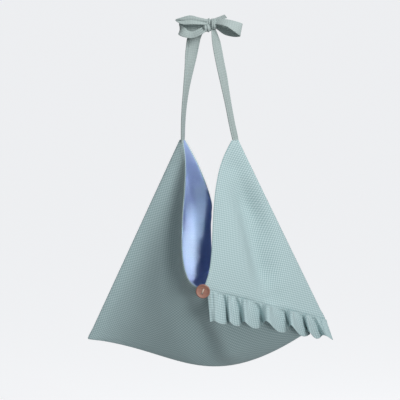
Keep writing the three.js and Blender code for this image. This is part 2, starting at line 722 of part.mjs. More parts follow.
// Turned disc with a raised rim, a dished face and two holes; its front faces -Y
function buttonDisc() {
  const radius = BUTTON_DIAMETER / 2;
  const half = BUTTON_THICKNESS / 2;
  const profile = [
    [0, -half],
    [radius * 0.7, -half],
    [radius - 0.9, -half + 0.7],
    [radius, 0.1],
    [radius - 0.5, half - 0.4],
    [radius - BUTTON_RIM * 0.45, half],
    [radius - BUTTON_RIM, half - BUTTON_DISH * 0.5],
    [radius - BUTTON_RIM * 1.6, half - BUTTON_DISH],
    [0, half - BUTTON_DISH],
  ].map(([x, y]) => new THREE.Vector2(x, y));
  const disc = new THREE.LatheGeometry(profile, ROUND_STEPS);
  disc.rotateX(Math.PI);
  let solid = toSolid(disc);
  for (const place of holePlaces) {
    const drill = new THREE.CylinderGeometry(
      BUTTON_HOLE_DIAMETER / 2, BUTTON_HOLE_DIAMETER / 2, BUTTON_THICKNESS * 2, 16);
    drill.translate(place.x, place.y, place.z);
    solid = solid.subtract(toSolid(drill));
  }
  return fromSolid(solid);
}

// Thread that comes up one hole, crosses the face and goes down the other
function buttonThread() {
  const front = -BUTTON_THICKNESS / 2 + BUTTON_DISH - FIT_GAP - THREAD_DIAMETER / 2;
  const behind = BUTTON_THICKNESS / 2 + THREAD_SHANK;
  const [low, high] = holePlaces;
  const inward = (place, share, y) => point(place.x * share, y, place.z * share);
  const path = new THREE.CatmullRomCurve3([
    inward(low, 1, behind),
    inward(low, 1, BUTTON_THICKNESS / 4),
    inward(low, 1, front * 0.5),
    inward(low, 0.6, front),
    inward(high, 0.6, front),
    inward(high, 1, front * 0.5),
    inward(high, 1, BUTTON_THICKNESS / 4),
    inward(high, 1, behind),
  ], false, 'centripetal');
  const ring = new THREE.Shape();
  ring.absarc(0, 0, THREAD_DIAMETER / 2, 0, Math.PI * 2);
  return new THREE.ExtrudeGeometry(ring, { steps: 24, curveSegments: 4, extrudePath: path });
}

function sewnButton() {
  const group = new THREE.Group();
  addMesh(group, 'button', buttonDisc(), buttonWood);
  addMesh(group, 'button_thread', buttonThread(), threadCotton);
  const behind = BUTTON_THICKNESS / 2 + THREAD_SHANK + FIT_GAP;
  group.position.copy(corners.frontNotch).add(point(0, -behind, -BUTTON_HOLE_SPACING / 2));
  return group;
}

const bag = new THREE.Group();
bag.add(handle());
bag.add(bagBody());
addMesh(bag, 'ruffle', ruffle(), outerCloth);
bag.add(sewnButton());

export default bag;
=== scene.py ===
"""Looks of a folded cloth bag that hangs by two straps tied in a bow.

Every piece is in metres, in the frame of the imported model: +Z up, the front faces -Y and the origin is
the hang point under the knot.
"""
import logging
import math
from dataclasses import dataclass, field
from enum import Enum
from typing import Callable, Sequence

import bmesh
import bpy
import numpy as np
from mathutils import Matrix, Vector
from mathutils.bvhtree import BVHTree


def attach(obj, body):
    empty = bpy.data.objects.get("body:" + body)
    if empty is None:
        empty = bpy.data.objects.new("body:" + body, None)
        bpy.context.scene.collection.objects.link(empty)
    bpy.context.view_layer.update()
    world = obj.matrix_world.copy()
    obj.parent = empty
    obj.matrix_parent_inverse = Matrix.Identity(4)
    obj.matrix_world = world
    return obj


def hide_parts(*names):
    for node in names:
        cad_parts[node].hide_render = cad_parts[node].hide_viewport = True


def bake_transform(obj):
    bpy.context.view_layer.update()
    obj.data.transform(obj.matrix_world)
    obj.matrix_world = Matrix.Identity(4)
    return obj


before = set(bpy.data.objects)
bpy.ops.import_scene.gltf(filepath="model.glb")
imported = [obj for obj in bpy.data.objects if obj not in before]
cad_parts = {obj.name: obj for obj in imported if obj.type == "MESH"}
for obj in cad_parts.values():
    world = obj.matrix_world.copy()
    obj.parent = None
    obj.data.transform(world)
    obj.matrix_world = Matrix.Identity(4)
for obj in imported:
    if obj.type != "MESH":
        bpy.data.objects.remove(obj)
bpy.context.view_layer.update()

LOG = logging.getLogger("bag")
FLAT_CUT = "flat_cut"
# Squares in the strip of the body, and the panels that it is folded into.
SQUARES = 3
PANELS = ("left_front", "left_back", "base_front", "base_back", "right_front", "right_back")
# One over the product of three equal shares, so that a panel's crown is full at its middle.
FULL_AT_MIDDLE = 27.0
# Points at which the length of a curve is measured.
CURVE_POINTS = 201
# Steps of subdivision that round the edges of cloth.
EDGE_LEVELS = 1

Colour = tuple[int, int, int]
Layer = bmesh.types.BMLayerItem
Place = Callable[[np.ndarray, np.ndarray], np.ndarray]
Point = tuple[float, float, float]


class Corner(Enum):
    """Corners of the six triangles that the strip of cloth is folded into."""

    LEFT_PEAK = "left_peak"
    RIGHT_PEAK = "right_peak"
    FRONT_NOTCH = "front_notch"
    BACK_NOTCH = "back_notch"
    LEFT_CORNER = "left_corner"
    RIGHT_CORNER = "right_corner"


class Growth(Enum):
    """Which way a sheet grows when it gets its thickness."""

    INWARDS = -1.0
    BOTH_WAYS = 0.0


class Ease(Enum):
    """How a value runs between two limits."""

    EVEN = "LINEAR"
    SOFT = "SMOOTHSTEP"


@dataclass(frozen=True)
class Grain:
    """Fineness of a noise and its levels of detail."""

    scale: float
    detail: float


def smooth_step(x: np.ndarray, low: float, high: float) -> np.ndarray:
    """Rise from 0 to 1 between two values.

    Args:
        x: Values to map.
        low: Value at which the rise starts.
        high: Value at which it ends.

    Returns:
        The eased values.
    """
    t = np.clip((np.asarray(x, float) - low) / (high - low), 0.0, 1.0)
    return t * t * (3.0 - 2.0 * t)


def unit(vectors: np.ndarray) -> np.ndarray:
    """Return the vectors at length one."""
    length = np.linalg.norm(vectors, axis=-1, keepdims=True)
    return vectors / np.maximum(length, 1e-12)


def bezier(points: Sequence[np.ndarray], t: np.ndarray) -> np.ndarray:
    """Points of a cubic curve.

    Args:
        points: Its two ends and two handles, in order.
        t: Shares along it.

    Returns:
        One point for each share.
    """
    t = np.asarray(t, float)[..., None]
    a, b, c, d = points
    s = 1.0 - t
    return s ** 3 * a + 3 * s * s * t * b + 3 * s * t * t * c + t ** 3 * d


def evenly(points: Sequence[np.ndarray], share: np.ndarray) -> np.ndarray:
    """Points at shares of the length of a cubic curve.

    Args:
        points: Its four points.
        share: Shares of its length.

    Returns:
        One row for each share.
    """
    fine = np.linspace(0.0, 1.0, CURVE_POINTS)
    steps = np.linalg.norm(np.diff(bezier(points, fine), axis=0), axis=1)
    run = np.concatenate([[0.0], np.cumsum(steps)])
    return bezier(points, np.interp(share * run[-1], run, fine))


def through(points: np.ndarray, t: np.ndarray) -> np.ndarray:
    """Smooth curve through rows of numbers, evenly timed.

    Args:
        points: Rows to pass through.
        t: Shares along the curve.

    Returns:
        One interpolated row for each share.
    """
    points = np.asarray(points, float)
    padded = np.vstack([2 * points[0] - points[1], points, 2 * points[-1] - points[-2]])
    last = len(points) - 1
    x = np.clip(np.asarray(t, float), 0.0, 1.0) * last
    i = np.minimum(x.astype(int), last - 1)
    f = (x - i)[..., None]
    p0, p1, p2, p3 = (padded[i + k] for k in range(4))
    bend = 2 * p0 - 5 * p1 + 4 * p2 - p3
    twist = 3 * p1 - p0 - 3 * p2 + p3
    return 0.5 * (2 * p1 + (p2 - p0) * f + bend * f ** 2 + twist * f ** 3)


def cloth_grid(columns: int, rows: int, place: Place, flat: tuple[float, float]) -> bmesh.types.BMesh:
    """Grid of cloth whose UV map is the flat cut, in metres.

    Args:
        columns: Cells along the cloth's length.
        rows: Cells across it.
        place: Gives the place of each share along and across.
        flat: Length and width of the cut.

    Returns:
        The placed grid.
    """
    bm = bmesh.new()
    bmesh.ops.create_grid(bm, x_segments=columns, y_segments=rows, size=0.5)
    shares = np.array([(v.co.x + 0.5, v.co.y + 0.5) for v in bm.verts])
    uv = bm.loops.layers.uv.new(FLAT_CUT)
    for face in bm.faces:
        for loop in face.loops:
            share = shares[loop.vert.index]
            loop[uv].uv = (share[0] * flat[0], share[1] * flat[1])
    for vert, at in zip(bm.verts, place(shares[:, 0], shares[:, 1])):
        vert.co = at
    return bm


def to_object(bm: bmesh.types.BMesh, name: str, material: bpy.types.Material) -> bpy.types.Object:
    """Turn a mesh under work into a finished, smooth object.

    Args:
        bm: The mesh, which is freed.
        name: Name of the object.
        material: Its finish.

    Returns:
        The object, linked to the scene.
    """
    mesh = bpy.data.meshes.new(name)
    bm.to_mesh(mesh)
    bm.free()
    mesh.materials.append(material)
    mesh.polygons.foreach_set("use_smooth", [True] * len(mesh.polygons))
    piece = bpy.data.objects.new(name, mesh)
    bpy.context.scene.collection.objects.link(piece)
    return piece


def thicken(piece: bpy.types.Object, thickness: float, growth: Growth) -> None:
    """Give a sheet its thickness and round its edges.

    Args:
        piece: The sheet.
        thickness: How thick the cloth is.
        growth: Which way it grows.
    """
    wall = piece.modifiers.new("thickness", "SOLIDIFY")
    wall.thickness = thickness
    wall.offset = growth.value
    round_off = piece.modifiers.new("soft_edges", "SUBSURF")
    round_off.levels = EDGE_LEVELS
    round_off.render_levels = EDGE_LEVELS


def baked(source: bpy.types.Object, name: str) -> bpy.types.Object:
    """Make a plain piece of what an object's modifiers or curve give.

    Args:
        source: The object, which is removed.
        name: Name of the piece.

    Returns:
        The piece, linked to the scene.
    """
    ready = source.evaluated_get(bpy.context.evaluated_depsgraph_get())
    mesh = bpy.data.meshes.new_from_object(ready)
    mesh.name = name
    bpy.data.objects.remove(source)
    piece = bpy.data.objects.new(name, mesh)
    bpy.context.scene.collection.objects.link(piece)
    return piece


def surface_of(piece: bpy.types.Object) -> BVHTree:
    """Return the finished surface of a piece for finding places on it."""
    return BVHTree.FromObject(piece, bpy.context.evaluated_depsgraph_get())


# Finishes


class Nodes:
    """Shorthand for wiring one material."""

    def __init__(self, name: str) -> None:
        """Start a material with a bare shader.

        Args:
            name: Name of the material.
        """
        self.material = bpy.data.materials.new(name)
        self.material.use_nodes = True
        self.tree = self.material.node_tree
        self.shader = self.tree.nodes["Principled BSDF"]

    def add(self, kind: str, **settings: object) -> bpy.types.Node:
        """Add a node.

        Args:
            kind: Type of the node.
            settings: Its settings, by name.

        Returns:
            The new node.
        """
        node = self.tree.nodes.new(kind)
        for key, value in settings.items():
            setattr(node, key, value)
        return node

    def link(self, source: bpy.types.NodeSocket, target: bpy.types.NodeSocket) -> None:
        """Join two sockets."""
        self.tree.links.new(source, target)

    def feed(self, socket: bpy.types.NodeSocket, value: object) -> None:
        """Set a socket's own value or join another socket to it.

        Args:
            socket: The socket.
            value: A number, a colour or another socket.
        """
        if isinstance(value, (int, float)):
            socket.default_value = value
        elif isinstance(value, tuple):
            socket.default_value = (*value, 1.0)
        else:
            self.link(value, socket)

    def dress(self, looks: dict[str, object]) -> None:
        """Feed sockets of the shader, by their names."""
        for name, value in looks.items():
            self.feed(self.shader.inputs[name], value)

    def place(self) -> bpy.types.NodeSocket:
        """Return the place on the piece, in metres."""
        return self.add("ShaderNodeTexCoord").outputs["Object"]

    def math(self, operation: str, *inputs: object) -> bpy.types.NodeSocket:
        """Add a sum.

        Args:
            operation: Name of the sum.
            inputs: Sockets or plain numbers.

        Returns:
            The socket of the result.
        """
        node = self.add("ShaderNodeMath", operation=operation)
        for socket, value in zip(node.inputs, inputs):
            self.feed(socket, value)
        return node.outputs[0]

    def mix(self, share: object, first: object, second: object) -> bpy.types.NodeSocket:
        """Mix two colours.

        Args:
            share: Socket or number, 0 for the first colour and 1 for the second.
            first: Colour or socket.
            second: Colour or socket.

        Returns:
            The socket of the mixed colour.
        """
        node = self.add("ShaderNodeMix", data_type="RGBA")
        for socket, value in ((node.inputs[0], share), (node.inputs[6], first), (node.inputs[7], second)):
            self.feed(socket, value)
        return node.outputs[2]

    def ramp(self, value: bpy.types.NodeSocket, limits: tuple[float, float],
             ease: Ease) -> bpy.types.NodeSocket:
        """Map a value to 0 to 1 between two limits.

        Args:
            value: Socket of the value.
            limits: Where the rise starts and ends.
            ease: How it runs between them.

        Returns:
            The socket of the mapped value.
        """
        node = self.add("ShaderNodeMapRange", interpolation_type=ease.value)
        for name, given in (("From Min", limits[0]), ("From Max", limits[1]), ("Value", value)):
            self.feed(node.inputs[name], given)
        return node.outputs[0]

    def noise(self, vector: bpy.types.NodeSocket, grain: Grain) -> bpy.types.NodeSocket:
        """Add a noise.

        Args:
            vector: Socket of the places.
            grain: How fine the noise is.

        Returns:
            The socket of its value.
        """
        node = self.add("ShaderNodeTexNoise")
        for name, given in (("Scale", grain.scale), ("Detail", grain.detail), ("Vector", vector)):
            self.feed(node.inputs[name], given)
        return node.outputs["Fac"]

    def bump(self, height: bpy.types.NodeSocket, strength: float, distance: float) -> None:
        """Let a height tilt the shader's normal.

        Args:
            height: Socket of the height.
            strength: Share of it that shows.
            distance: Height in metres that a value of 1 stands for.
        """
        node = self.add("ShaderNodeBump")
        for name, given in (("Strength", strength), ("Distance", distance), ("Height", height)):
            self.feed(node.inputs[name], given)
        self.link(node.outputs["Normal"], self.shader.inputs["Normal"])


def linear(red: int, green: int, blue: int) -> tuple[float, float, float]:
    """Turn a screen colour into the shader's own scale.

    Args:
        red: Red from 0 to 255.
        green: Green on the same scale.
        blue: Blue on the same scale.

    Returns:
        Red, green and blue from 0 to 1.
    """
    shares = [value / 255.0 for value in (red, green, blue)]
    return tuple(s / 12.92 if s <= 0.04045 else ((s + 0.055) / 1.055) ** 2.4 for s in shares)


@dataclass(frozen=True)
class WovenCloth:
    """Plain woven cotton: yarns at a fine pitch, with an optional small check."""

    name: str
    pale: Colour
    single: Colour
    double: Colour
    check: float = 0.0032
    stripe_edge: tuple[float, float] = (0.38, 0.62)
    yarn: float = 0.00042
    yarn_height: float = 0.5
    slub: Grain = Grain(900.0, 3.0)
    cloud: Grain = Grain(9.0, 4.0)
    unevenness: float = 0.10
    even_share: float = 0.04
    fuzz: Grain = Grain(260.0, 3.0)
    fuzz_height: float = 1.6
    relief: float = 0.35
    relief_depth: float = 0.0002
    rough: float = 0.86
    sheen: float = 0.15
    sheen_rough: float = 0.5
    gloss: float = 0.25

    def stripes(self, nodes: Nodes, across: bpy.types.NodeSocket) -> bpy.types.NodeSocket:
        """Dyed stripes of the check in one direction.

        Args:
            nodes: The material under work.
            across: Flat coordinate across the stripes, in metres.

        Returns:
            1 on a dyed stripe and 0 on a pale one.
        """
        wave = nodes.math("PINGPONG", nodes.math("MULTIPLY", across, 2.0 / self.check), 1.0)
        return nodes.ramp(wave, self.stripe_edge, Ease.SOFT)

    def yarns(self, nodes: Nodes, across: bpy.types.NodeSocket) -> bpy.types.NodeSocket:
        """Round yarns side by side.

        Args:
            nodes: The material under work.
            across: Flat coordinate across the yarns, in metres.

        Returns:
            Their height.
        """
        wave = nodes.math("SINE", nodes.math("MULTIPLY", across, 2.0 * math.pi / self.yarn))
        return nodes.math("MULTIPLY", wave, self.yarn_height)

    def make(self) -> bpy.types.Material:
        """Build the cloth on the piece's flat cut.

        Returns:
            The material.
        """
        nodes = Nodes(self.name)
        cut = nodes.add("ShaderNodeUVMap", uv_map=FLAT_CUT).outputs[0]
        split = nodes.add("ShaderNodeSeparateXYZ")
        nodes.link(cut, split.inputs[0])
        warp, weft = split.outputs[0], split.outputs[1]
        dyed = nodes.math("ADD", self.stripes(nodes, warp), self.stripes(nodes, weft))
        striped = nodes.mix(nodes.math("MINIMUM", dyed, 1.0), linear(*self.pale), linear(*self.single))
        crossed = nodes.math("MAXIMUM", nodes.math("SUBTRACT", dyed, 1.0), 0.0)
        checked = nodes.mix(crossed, striped, linear(*self.double))
        slub = nodes.math("MULTIPLY", nodes.noise(cut, self.slub), self.unevenness)
        cloud = nodes.math("MULTIPLY", nodes.noise(nodes.place(), self.cloud), self.unevenness)
        uneven = nodes.math("SUBTRACT", nodes.math("ADD", slub, cloud), self.even_share)
        nodes.dress({
            "Base Color": nodes.mix(uneven, checked, linear(*self.double)),
            "Roughness": self.rough,
            "Sheen Weight": self.sheen,
            "Sheen Roughness": self.sheen_rough,
            "Specular IOR Level": self.gloss,
        })
        weave = nodes.math("ADD", self.yarns(nodes, warp), self.yarns(nodes, weft))
        fuzz = nodes.math("MULTIPLY", nodes.noise(cut, self.fuzz), self.fuzz_height)
        nodes.bump(nodes.math("ADD", weave, fuzz), self.relief, self.relief_depth)
        return nodes.material


@dataclass(frozen=True)
class TurnedWood:
    """Reddish turned wood with grain across the face."""

    name: str = "button_wood"
    light: Colour = (176, 128, 110)
    dark: Colour = (140, 97, 84)
    grain_turn: float = 0.5
    grain_scales: tuple[float, float, float] = (60.0, 200.0, 900.0)
    grain: Grain = Grain(1.0, 5.0)
    figure: Grain = Grain(160.0, 3.0)
    grain_share: float = 0.75
    contrast: tuple[float, float] = (0.32, 0.68)
    relief: float = 0.25
    relief_depth: float = 0.0002
    rough: float = 0.48
    polish: float = 0.15
    polish_rough: float = 0.35

    def make(self) -> bpy.types.Material:
        """Build the wood on object coordinates.

        Returns:
            The material.
        """
        nodes = Nodes(self.name)
        place = nodes.place()
        lay = nodes.add("ShaderNodeMapping")
        lay.inputs["Rotation"].default_value = (0.0, self.grain_turn, 0.0)
        lay.inputs["Scale"].default_value = self.grain_scales
        nodes.link(place, lay.inputs["Vector"])
        grain = nodes.noise(lay.outputs[0], self.grain)
        figure = nodes.math("MULTIPLY", nodes.noise(place, self.figure), 1.0 - self.grain_share)
        share = nodes.math("ADD", nodes.math("MULTIPLY", grain, self.grain_share), figure)
        light = nodes.ramp(share, self.contrast, Ease.EVEN)
        nodes.dress({
            "Base Color": nodes.mix(light, linear(*self.dark), linear(*self.light)),
            "Roughness": self.rough,
            "Coat Weight": self.polish,
            "Coat Roughness": self.polish_rough,
        })
        nodes.bump(grain, self.relief, self.relief_depth)
        return nodes.material


@dataclass(frozen=True)
class SpunThread:
    """Twisted sewing thread."""

    name: str
    colour: Colour
    shade: Colour
    twist: Grain = Grain(2600.0, 2.0)
    relief: float = 0.4
    relief_depth: float = 0.0001
    rough: float = 0.8
    sheen: float = 0.2

    def make(self) -> bpy.types.Material:
        """Build the thread on object coordinates.

        Returns:
            The material.
        """
        nodes = Nodes(self.name)
        twist = nodes.noise(nodes.place(), self.twist)
        nodes.dress({
            "Base Color": nodes.mix(twist, linear(*self.shade), linear(*self.colour)),
            "Roughness": self.rough,
            "Sheen Weight": self.sheen,
        })
        nodes.bump(twist, self.relief, self.relief_depth)
        return nodes.material


@dataclass(frozen=True)
class PaleFloor:
    """Pale floor: the camera sees the colour itself, and little light comes back from it."""

    name: str = "pale_floor"
    colour: Colour = (236, 237, 239)
    bounce: float = 0.42
    glow: float = 0.865
    rough: float = 0.9

    def make(self) -> bpy.types.Material:
        """Build the plain surface.

        Returns:
            The material.
        """
        nodes = Nodes(self.name)
        seen = nodes.add("ShaderNodeLightPath").outputs["Is Camera Ray"]
        nodes.dress({
            "Base Color": (self.bounce, self.bounce, self.bounce),
            "Roughness": self.rough,
            "Specular IOR Level": 0.0,
            "Emission Color": linear(*self.colour),
            "Emission Strength": nodes.math("MULTIPLY", seen, self.glow),
        })
        return nodes.material


@dataclass
class Finishes:
    """All finishes of the bag, made once."""

    outer: bpy.types.Material = field(init=False)
    strap: bpy.types.Material = field(init=False)
    lining: bpy.types.Material = field(init=False)
    wood: bpy.types.Material = field(init=False)
    button_thread: bpy.types.Material = field(init=False)
    topstitch: bpy.types.Material = field(init=False)

    def __post_init__(self) -> None:
        """Make every material."""
        self.outer = WovenCloth(
            "outer_gingham", pale=(198, 215, 216), single=(172, 196, 198), double=(150, 176, 179)).make()
        self.strap = WovenCloth(
            "strap_gingham", pale=(184, 197, 195), single=(178, 191, 189), double=(170, 185, 183)).make()
        self.lining = WovenCloth(
            "lining_chambray", pale=(180, 201, 237), single=(169, 191, 231), double=(150, 172, 216),
            check=0.0009).make()
        self.wood = TurnedWood().make()
        self.button_thread = SpunThread(
            "button_thread", colour=(226, 212, 196), shade=(190, 168, 150)).make()
        self.topstitch = SpunThread(
            "topstitch_thread", colour=(204, 216, 216), shade=(170, 188, 190)).make()


# The folded body


@dataclass(frozen=True)
class SoftFold:
    """A soft rise or hollow along a path on the flat strip, in squares of the strip."""

    path: tuple[tuple[float, float], ...]
    width: float
    height: float
    end_share: float = 0.35
    full_from: float = 0.3
    full_to: float = 0.8

    def lift(self, p: np.ndarray, q: np.ndarray) -> np.ndarray:
        """Height of the fold.

        Args:
            p: Places along the strip.
            q: Places across it.

        Returns:
            Rise of the cloth in metres.
        """
        points = np.array(self.path)
        nearest = np.full(len(p), np.inf)
        share = np.zeros(len(p))
        for number, (a, b) in enumerate(zip(points, points[1:])):
            run = b - a
            here = np.clip(((p - a[0]) * run[0] + (q - a[1]) * run[1]) / (run @ run), 0.0, 1.0)
            away = np.hypot(p - a[0] - here * run[0], q - a[1] - here * run[1])
            share = np.where(away < nearest, (number + here) / (len(points) - 1), share)
            nearest = np.minimum(away, nearest)
        full = smooth_step(share, 0.0, self.full_from) * (1.0 - smooth_step(share, self.full_to, 1.0))
        taper = self.end_share + (1.0 - self.end_share) * full
        return self.height * taper * np.exp(-((nearest / self.width) ** 2))


@dataclass
class BagShape:
    """Where the folded strip hangs: corners, edges and the cloth between them."""

    peak_drop: float = 0.154
    left_peak_reach: float = 0.042
    right_peak_reach: float = 0.040
    left_corner_reach: float = 0.185
    left_corner_drop: float = 0.467
    right_corner_reach: float = 0.176
    right_corner_drop: float = 0.437
    notch_drop: float = 0.374
    notch_half_depth: float = 0.105
    front_notch_shift: float = -0.010
    back_notch_shift: float = 0.006
    bottom_left_sag: float = 0.027
    bottom_right_sag: float = 0.116
    bottom_shares: tuple[float, float] = (0.41, 0.50)
    mouth_overhang: float = 0.024
    mouth_bend: float = 0.012
    overhang_shares: tuple[float, float] = (0.35, 0.92)
    front_mouth_insweep: float = 0.0376
    front_mouth_hold: float = 0.0176
    front_mouth_shares: tuple[float, float] = (0.34, 0.78)
    back_mouth_insweep: float = 0.034
    back_mouth_hold: float = 0.0104
    back_mouth_shares: tuple[float, float] = (0.55, 0.56)
    fold_hollow: float = 0.034
    fold_sag_share: float = 0.4
    fold_shares: tuple[float, float] = (0.30, 0.68)
    side_panel_hollow: float = 0.008
    side_panel_crown: float = 0.007
    base_panel_crown: float = 0.016
    corners: dict[Corner, np.ndarray] = field(init=False)
    edges: dict[tuple[Corner, Corner], tuple[np.ndarray, ...]] = field(init=False)

    def __post_init__(self) -> None:
        """Place the corners and the edges between them."""
        c = Corner
        self.corners = {
            c.LEFT_PEAK: np.array([-self.left_peak_reach, 0.0, -self.peak_drop]),
            c.RIGHT_PEAK: np.array([self.right_peak_reach, 0.0, -self.peak_drop]),
            c.FRONT_NOTCH: np.array([self.front_notch_shift, -self.notch_half_depth, -self.notch_drop]),
            c.BACK_NOTCH: np.array([self.back_notch_shift, self.notch_half_depth, -self.notch_drop]),
            c.LEFT_CORNER: np.array([-self.left_corner_reach, 0.0, -self.left_corner_drop]),
            c.RIGHT_CORNER: np.array([self.right_corner_reach, 0.0, -self.right_corner_drop]),
        }
        straight = (
            (c.LEFT_PEAK, c.LEFT_CORNER), (c.RIGHT_PEAK, c.RIGHT_CORNER),
            (c.FRONT_NOTCH, c.RIGHT_CORNER), (c.BACK_NOTCH, c.LEFT_CORNER),
        )
        self.edges = {ends: self.curve(*ends) for ends in straight}
        self.edges.update({
            (c.LEFT_PEAK, c.FRONT_NOTCH): self.overhanging(c.LEFT_PEAK, c.FRONT_NOTCH, -1.0),
            (c.RIGHT_PEAK, c.BACK_NOTCH): self.overhanging(c.RIGHT_PEAK, c.BACK_NOTCH, 1.0),
            (c.RIGHT_PEAK, c.FRONT_NOTCH): self.curve(
                c.RIGHT_PEAK, c.FRONT_NOTCH, self.front_mouth_shares,
                (-self.front_mouth_insweep, 0.0, 0.0), (self.front_mouth_hold, 0.0, 0.0)),
            (c.LEFT_PEAK, c.BACK_NOTCH): self.curve(
                c.LEFT_PEAK, c.BACK_NOTCH, self.back_mouth_shares,
                (self.back_mouth_insweep, 0.0, 0.0), (self.back_mouth_hold, 0.0, 0.0)),
            (c.FRONT_NOTCH, c.LEFT_CORNER): self.soft(c.FRONT_NOTCH, c.LEFT_CORNER, 1.0),
            (c.BACK_NOTCH, c.RIGHT_CORNER): self.soft(c.BACK_NOTCH, c.RIGHT_CORNER, -1.0),
            (c.LEFT_CORNER, c.RIGHT_CORNER): self.curve(
                c.LEFT_CORNER, c.RIGHT_CORNER, self.bottom_shares,
                (0.0, 0.0, -self.bottom_left_sag), (0.0, 0.0, -self.bottom_right_sag)),
        })

    def curve(self, start: Corner, end: Corner, shares: tuple[float, float] = (1 / 3, 2 / 3),
              first: Point = (0.0, 0.0, 0.0), last: Point = (0.0, 0.0, 0.0)) -> tuple[np.ndarray, ...]:
        """Curve between two corners with its handles beside the straight line.

        Args:
            start: First corner.
            end: Last corner.
            shares: Places of both handles along the line.
            first: Shift of the first handle.
            last: Shift of the last handle.

        Returns:
            The four points of the curve.
        """
        a, d = self.corners[start], self.corners[end]
        b, c = (a + (d - a) * share + np.array(shift) for share, shift in zip(shares, (first, last)))
        return a, b, c, d

    def overhanging(self, peak: Corner, notch: Corner, side: float) -> tuple[np.ndarray, ...]:
        """Mouth edge that hangs straight down from its peak and turns late into the notch.

        Args:
            peak: The peak.
            notch: The notch.
            side: Direction in X that the edge hangs over to.

        Returns:
            The four points of the curve.
        """
        a, b, c, d = self.curve(peak, notch, self.overhang_shares)
        b[0] = a[0] - side * self.mouth_bend
        c[0] = a[0] + side * self.mouth_overhang
        c[2] = d[2]
        return a, b, c, d

    def soft(self, notch: Corner, corner: Corner, inward: float) -> tuple[np.ndarray, ...]:
        """Soft fold from a notch to a bottom corner, hollow towards the inside."""
        shift = (0.0, inward * self.fold_hollow, -self.fold_sag_share * self.fold_hollow)
        return self.curve(notch, corner, self.fold_shares, shift, shift)

    def on_edge(self, start: Corner, end: Corner, t: np.ndarray) -> np.ndarray:
        """Points at even shares of the length of an edge.

        Args:
            start: Corner at share 0.
            end: Corner at share 1.
            t: The shares.

        Returns:
            One point for each share.
        """
        if (start, end) in self.edges:
            return evenly(self.edges[(start, end)], np.asarray(t))
        return evenly(self.edges[(end, start)], 1.0 - np.asarray(t))

    def patch(self, names: Sequence[Corner], weights: np.ndarray, crown: float) -> np.ndarray:
        """Cloth of one triangle, which meets its three edges.

        Args:
            names: Its three corners.
            weights: Share of each corner, one row for each point.
            crown: Rise of its middle, outwards.

        Returns:
            One point for each row.
        """
        total = np.zeros((len(weights), 3))
        for i in range(3):
            j, k = (i + 1) % 3, (i + 2) % 3
            one, two = names[j], names[k]
            here = self.on_edge(names[i], one, weights[:, j]) + self.on_edge(names[i], two, weights[:, k])
            total += weights[:, i:i + 1] * (here - self.corners[names[i]])
        a, b, c = (self.corners[name] for name in names)
        normal = unit(np.cross(b - a, c - a))
        middle = np.array([0.0, 0.0, -0.5 * (self.notch_drop + self.left_corner_drop)])
        normal = normal * np.sign((a - middle) @ normal)
        rise = FULL_AT_MIDDLE * weights.prod(axis=1) * crown
        return total + rise[:, None] * normal

    def on_strip(self, p: np.ndarray, q: np.ndarray) -> np.ndarray:
        """Place of flat points of the strip on the hanging bag.

        Args:
            p: Along the strip, 0 to 3 squares.
            q: Across it, 0 to 1.

        Returns:
            One point for each pair.
        """
        c = Corner
        hollow, crown, base = -self.side_panel_hollow, self.side_panel_crown, self.base_panel_crown
        a, b = p - 1.0, p - 2.0
        first, second, third = p <= 1.0, (p > 1.0) & (p <= 2.0), p > 2.0
        panels = (
            (first & (p + q >= 1.0), (c.FRONT_NOTCH, c.LEFT_PEAK, c.LEFT_CORNER),
             (p + q - 1, 1 - p, 1 - q), hollow),
            (first & (p + q < 1.0), (c.BACK_NOTCH, c.LEFT_PEAK, c.LEFT_CORNER),
             (1 - p - q, q, p), crown),
            (second & (q >= a), (c.FRONT_NOTCH, c.LEFT_CORNER, c.RIGHT_CORNER),
             (q - a, 1 - q, a), base),
            (second & (q < a), (c.BACK_NOTCH, c.LEFT_CORNER, c.RIGHT_CORNER),
             (a - q, 1 - a, q), base),
            (third & (b + q >= 1.0), (c.FRONT_NOTCH, c.RIGHT_PEAK, c.RIGHT_CORNER),
             (b + q - 1, 1 - q, 1 - b), crown),
            (third & (b + q < 1.0), (c.BACK_NOTCH, c.RIGHT_PEAK, c.RIGHT_CORNER),
             (1 - b - q, b, q), hollow),
        )
        places = np.zeros((len(p), 3))
        for chosen, names, weights, rise in panels:
            if chosen.any():
                rows = np.stack(weights, axis=1)[chosen]
                places[chosen] = self.patch(names, rows, rise)
        return places

    def on_shares(self, u: np.ndarray, v: np.ndarray) -> np.ndarray:
        """Place of shares of the strip's length and width on the hanging bag."""
        return self.on_strip(SQUARES * u, v)


